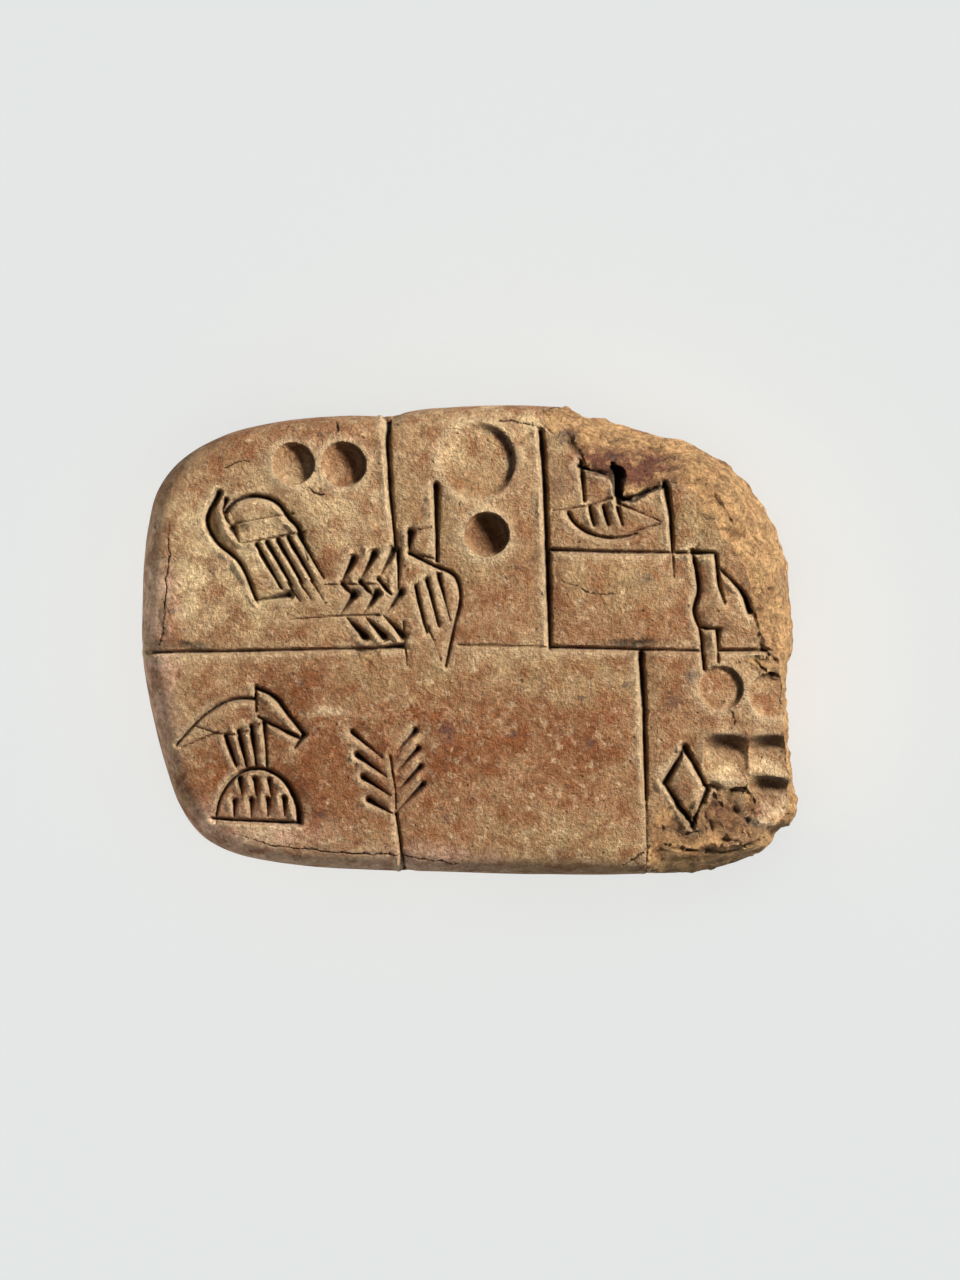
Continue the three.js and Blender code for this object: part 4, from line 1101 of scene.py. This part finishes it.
def dryClay():
    material = bpy.data.materials.new("dryClay")
    material.use_nodes = True
    tree = material.node_tree
    shader = tree.nodes["Principled BSDF"]
    coordinates = addNode(tree, "ShaderNodeTexCoord").outputs["Object"]
    inMm = vectorMath(tree, "SCALE", coordinates, Scale=1 / mm)
    # Textures are read off a turned frame, so that no lattice of theirs lines up with the face.
    turned = addNode(tree, "ShaderNodeVectorRotate", {"rotation_type": "EULER_XYZ"}, {
        "Vector": inMm, "Rotation": (0.62, 0.43, 0.95)}).outputs[0]

    def noise(vector, scale, detail, roughness, seed):
        return noiseNode(tree, vector, scale, detail, roughness, seed)["Fac"]

    def cells(vector, scale):
        settings = {"voronoi_dimensions": "3D"}
        return addNode(tree, "ShaderNodeTexVoronoi", settings, {"Vector": vector, "Scale": scale}).outputs

    def channel(colour, index):
        return addNode(tree, "ShaderNodeSeparateColor", None, {0: colour}).outputs[index]

    def ramp(value, fromLow, fromHigh, toLow, toHigh):
        node = addNode(tree, "ShaderNodeMapRange", None, {
            "Value": value, "From Min": fromLow, "From Max": fromHigh, "To Min": toLow, "To Max": toHigh})
        return node.outputs[0]

    def wander(vector, scale, reach, seed):
        strays = noiseNode(tree, vector, scale, 3.0, 0.6, seed)["Color"]
        centred = vectorMath(tree, "SUBTRACT", strays, (0.5,) * 3)
        return vectorMath(tree, "MULTIPLY_ADD", centred, (reach,) * 3, vector)

    def onFace(vector):
        return vectorMath(tree, "MULTIPLY", vector, (1.0, 1.0, 0.0))

    frayed = wander(turned, 1.1, 0.9, 27.0)

    # Broad colour: tan that drifts to russet, then the stains.
    broad = noise(turned, 0.11, 4.0, 0.6, 1.0)
    colour = mixColour(tree, ramp(broad, 0.35, 0.65, 0.0, 0.55), finish["tan"], finish["russet"])
    stain = stainGroup()
    patchwork = ramp(noise(turned, 0.4, 7.0, 0.72, 33.0), 0.38, 0.6, 0.2, 1.25)

    def stained(colour, places, vector):
        for name, middle, half, strength in places:
            node = addNode(tree, "ShaderNodeGroup", {"node_tree": stain}, {
                "Vector": vector, "Middle": (*middle, 0.0), "Half Size": (*half, 1.0), "Strength": strength})
            mask = mathNode(tree, "MULTIPLY", node.outputs["Mask"], patchwork, clamp=True)
            colour = mixColour(tree, mask, colour, finish[name])
        return colour

    colour = stained(colour, stains, onFace(wander(inMm, 0.16, 9.0, 2.0)))

    # Russet blotches and pale flecks.
    patchy = noise(turned, 0.36, 6.0, 0.62, 5.0)
    colour = mixColour(tree, ramp(patchy, 0.46, 0.62, 0.0, 0.72), colour, finish["russet"])
    pale = noise(frayed, 0.8, 6.0, 0.7, 9.0)
    colour = mixColour(tree, ramp(pale, 0.53, 0.7, 0.0, 0.6), colour, finish["cream"])

    # The fracture shows fresher, yellower clay.
    broken = attribute(tree, "broken")
    inside = noise(frayed, 0.45, 7.0, 0.75, 13.0)
    fresh = mixColour(tree, ramp(inside, 0.42, 0.64, 0.0, 0.72), finish["ochre"], finish["russet"])
    colour = mixColour(tree, times(tree, broken, 0.95), colour, fresh)
    colour = stained(colour, lateStains, onFace(wander(inMm, 0.4, 2.4, 3.0)))

    # Deep marks are browner. Pushed-up lips are paler, as worn clay and as painted highlight; furrows, cracks
    # and tears are painted dark, as dirt and as painted shade.
    for mask, share, name in (
        ("pressed", 0.75, "umber"), ("lip", 0.5, "cream"), ("furrow", 0.92, "dirtAndShade"), ("crack", 0.8, "dirtAndShade"),
    ):
        colour = mixColour(tree, times(tree, attribute(tree, mask), share), colour, finish[name])

    # Fine relief in millimetres: dimpled skin, grain, pits, hair lines and, on the fracture, crumbs.
    skin = noise(frayed, 0.8, 5.0, 0.7, 21.0)
    grain = noise(turned, 2.3, 4.0, 0.7, 23.0)
    pits = cells(frayed, 0.85)
    pitChance = mathNode(tree, "ADD", channel(pits["Color"], 1), times(tree, broken, 0.12))
    pitSize = ramp(pitChance, 0.62, 1.0, 0.01, 0.26)
    pit = ramp(mathNode(tree, "DIVIDE", pits["Distance"], pitSize), 0.3, 1.0, -1.0, 0.0)
    coarse = noise(frayed, 0.5, 8.0, 0.76, 25.0)
    crumb = mathNode(tree, "SUBTRACT", coarse, times(tree, cells(frayed, 1.25)["Distance"], 0.12))
    winding = noise(frayed, 0.55, 4.0, 0.6, 41.0)
    line = ramp(mathNode(tree, "ABSOLUTE", mathNode(tree, "SUBTRACT", winding, 0.5)), 0.0, 0.014, 1.0, 0.0)
    where = ramp(noise(turned, 0.3, 2.0, 0.5, 43.0), 0.5, 0.62, 0.0, 0.55)
    fibre = times(tree, line, mathNode(tree, "MAXIMUM", where, broken))
    height = times(tree, skin, finish["skinHeight"])
    for signal, share in (
        (grain, finish["grainHeight"]), (pit, finish["pitDepth"]), (fibre, -finish["fibreDepth"]),
        (times(tree, crumb, broken), finish["crumbHeight"]),
    ):
        height = mathNode(tree, "ADD", height, times(tree, signal, share))
    bump = addNode(tree, "ShaderNodeBump", None, {"Strength": 1.0, "Distance": mm, "Height": height})

    # A random paler and darker tone, then painted shade in the hollows of that relief and painted light on
    # its crests, with sparse dark specks.
    shade = ramp(noise(turned, 1.6, 5.0, 0.8, 17.0), 0.32, 0.68, 0.66, 1.34)
    for signal, *reach in (
        (skin, 0.32, 0.68, 0.82, 1.18), (grain, 0.34, 0.66, 0.84, 1.16),
        (pit, -1.0, 0.0, 0.5, 1.0), (fibre, 0.0, 1.0, 1.0, 0.62),
    ):
        shade = times(tree, shade, ramp(signal, *reach))
    # Painted shade in the fracture's crumb hollows and painted light on their crests.
    crumbShade = times(tree, ramp(crumb, 0.28, 0.52, -0.42, 0.16), broken)
    shade = times(tree, shade, mathNode(tree, "ADD", crumbShade, 1.0))
    shadeColour = addNode(tree, "ShaderNodeCombineColor", None, {0: shade, 1: shade, 2: shade}).outputs[0]
    colour = mixColour(tree, 1.0, colour, shadeColour, "MULTIPLY")
    specks = cells(frayed, 0.5)
    speckSize = ramp(channel(specks["Color"], 0), 0.85, 1.0, 0.0, 0.26)
    speck = mathNode(tree, "LESS_THAN", specks["Distance"], speckSize)
    colour = mixColour(tree, times(tree, speck, 0.5), colour, finish["soot"])
    tree.links.new(bump.outputs[0], shader.inputs["Normal"])
    tree.links.new(colour, shader.inputs["Base Color"])
    shader.inputs["Roughness"].default_value = finish["roughness"]
    shader.inputs["Specular IOR Level"].default_value = finish["sheen"]
    return material


clay = dryClay()
applyNodes(tablet, weatheringTree(weather, clay), weather)
tablet.data.set_sharp_from_angle(angle=math.radians(meshing["crease"]))
print("stage: tablet weathered and painted")


def fitToBox(piece, low, high, clear):
    # The finished mesh fills the solid's box, standing on the same plane, and never leaves it.
    count = len(piece.data.vertices)
    places = np.empty(count * 3)
    piece.data.vertices.foreach_get("co", places)
    places = places.reshape(-1, 3)
    low, high = np.array(low), np.array(high)
    mine = places.min(0), places.max(0)
    for axis in (0, 1):
        span, mySpan = high[axis] - low[axis] - 2 * clear, mine[1][axis] - mine[0][axis]
        places[:, axis] = low[axis] + clear + (places[:, axis] - mine[0][axis]) * span / mySpan
    places[:, 2] = np.clip(places[:, 2], low[2], high[2] - clear)
    piece.data.vertices.foreach_set("co", places.ravel())
    piece.data.update()


clearance = 0.02 * mm
fitToBox(tablet, cadLow, cadHigh, clearance)
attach(tablet, "root")
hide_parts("tablet")

# Studio: a pale floor under an even wash, and softboxes low at the sides for the relief.
studio = {
    "floorSize": 6.0,
    "floorDrop": 0.00002, # keeps the floor just clear of the clay that rests on it
    "floorColour": (0.80, 0.825, 0.82, 1.0),
    "dome": (1.0, 1.0, 1.0, 1.0), "domeStrength": 0.11,
    "fillPower": 4.0, "fillSize": 0.7, "fillDistance": 0.9, "fillTurn": 195.0, "fillHeight": 16.0,
    "keyPower": 18.2, "keySize": 0.17, "keyDistance": 0.9, "keyTurn": 30.0, "keyHeight": 36.0,
    "keyColour": (1.0, 0.96, 0.9),
    "washPower": 66.2, "washSize": 3.0, "washHeight": 2.2,
}

floorHalf = studio["floorSize"] / 2
floorMesh = bpy.data.meshes.new("paleFloor")
floorCorners = ((-1, -1), (1, -1), (1, 1), (-1, 1))
floorPlaces = [(x * floorHalf, y * floorHalf, -studio["floorDrop"]) for x, y in floorCorners]
floorMesh.from_pydata(floorPlaces, [], [(0, 1, 2, 3)])
floor = bpy.data.objects.new("paleFloor", floorMesh)
scene.collection.objects.link(floor)
paleFloor = bpy.data.materials.new("paleFloor")
paleFloor.use_nodes = True
for socket, value in (("Base Color", studio["floorColour"]), ("Roughness", 0.8), ("Specular IOR Level", 0.1)):
    paleFloor.node_tree.nodes["Principled BSDF"].inputs[socket].default_value = value
floorMesh.materials.append(paleFloor)

world = bpy.data.worlds.new("studioDome")
world.use_nodes = True
world.node_tree.nodes["Background"].inputs["Color"].default_value = studio["dome"]
world.node_tree.nodes["Background"].inputs["Strength"].default_value = studio["domeStrength"]
scene.world = world


def softbox(name, power, size, place, target, colour=(1, 1, 1)):
    data = bpy.data.lights.new(name, "AREA")
    data.energy, data.size, data.color = power, size, colour
    box = bpy.data.objects.new(name, data)
    box.location = place
    box.rotation_euler = (Vector(target) - Vector(place)).to_track_quat("-Z", "Y").to_euler()
    scene.collection.objects.link(box)
    return box


def around(light):
    turn, climb = math.radians(studio[light + "Turn"]), math.radians(studio[light + "Height"])
    towards = Vector((math.cos(turn) * math.cos(climb), math.sin(turn) * math.cos(climb), math.sin(climb)))
    return towards * studio[light + "Distance"]


aim = (0, 0, 0.01)
key = softbox("keySoftbox", studio["keyPower"], studio["keySize"], around("key"), aim, studio["keyColour"])
fill = softbox("fillSoftbox", studio["fillPower"], studio["fillSize"], around("fill"), aim)
wash = softbox("floorWash", studio["washPower"], studio["washSize"], (0, 0, studio["washHeight"]), (0, 0, 0))
lit = bpy.data.collections.new("litByKey")
lit.objects.link(tablet)
for box in (key, fill):
    box.light_linking.receiver_collection = lit
washed = bpy.data.collections.new("litByWash")
washed.objects.link(floor)
wash.light_linking.receiver_collection = washed
wash.light_linking.blocker_collection = washed
scene.view_settings.view_transform = "Standard"
print("stage: studio")
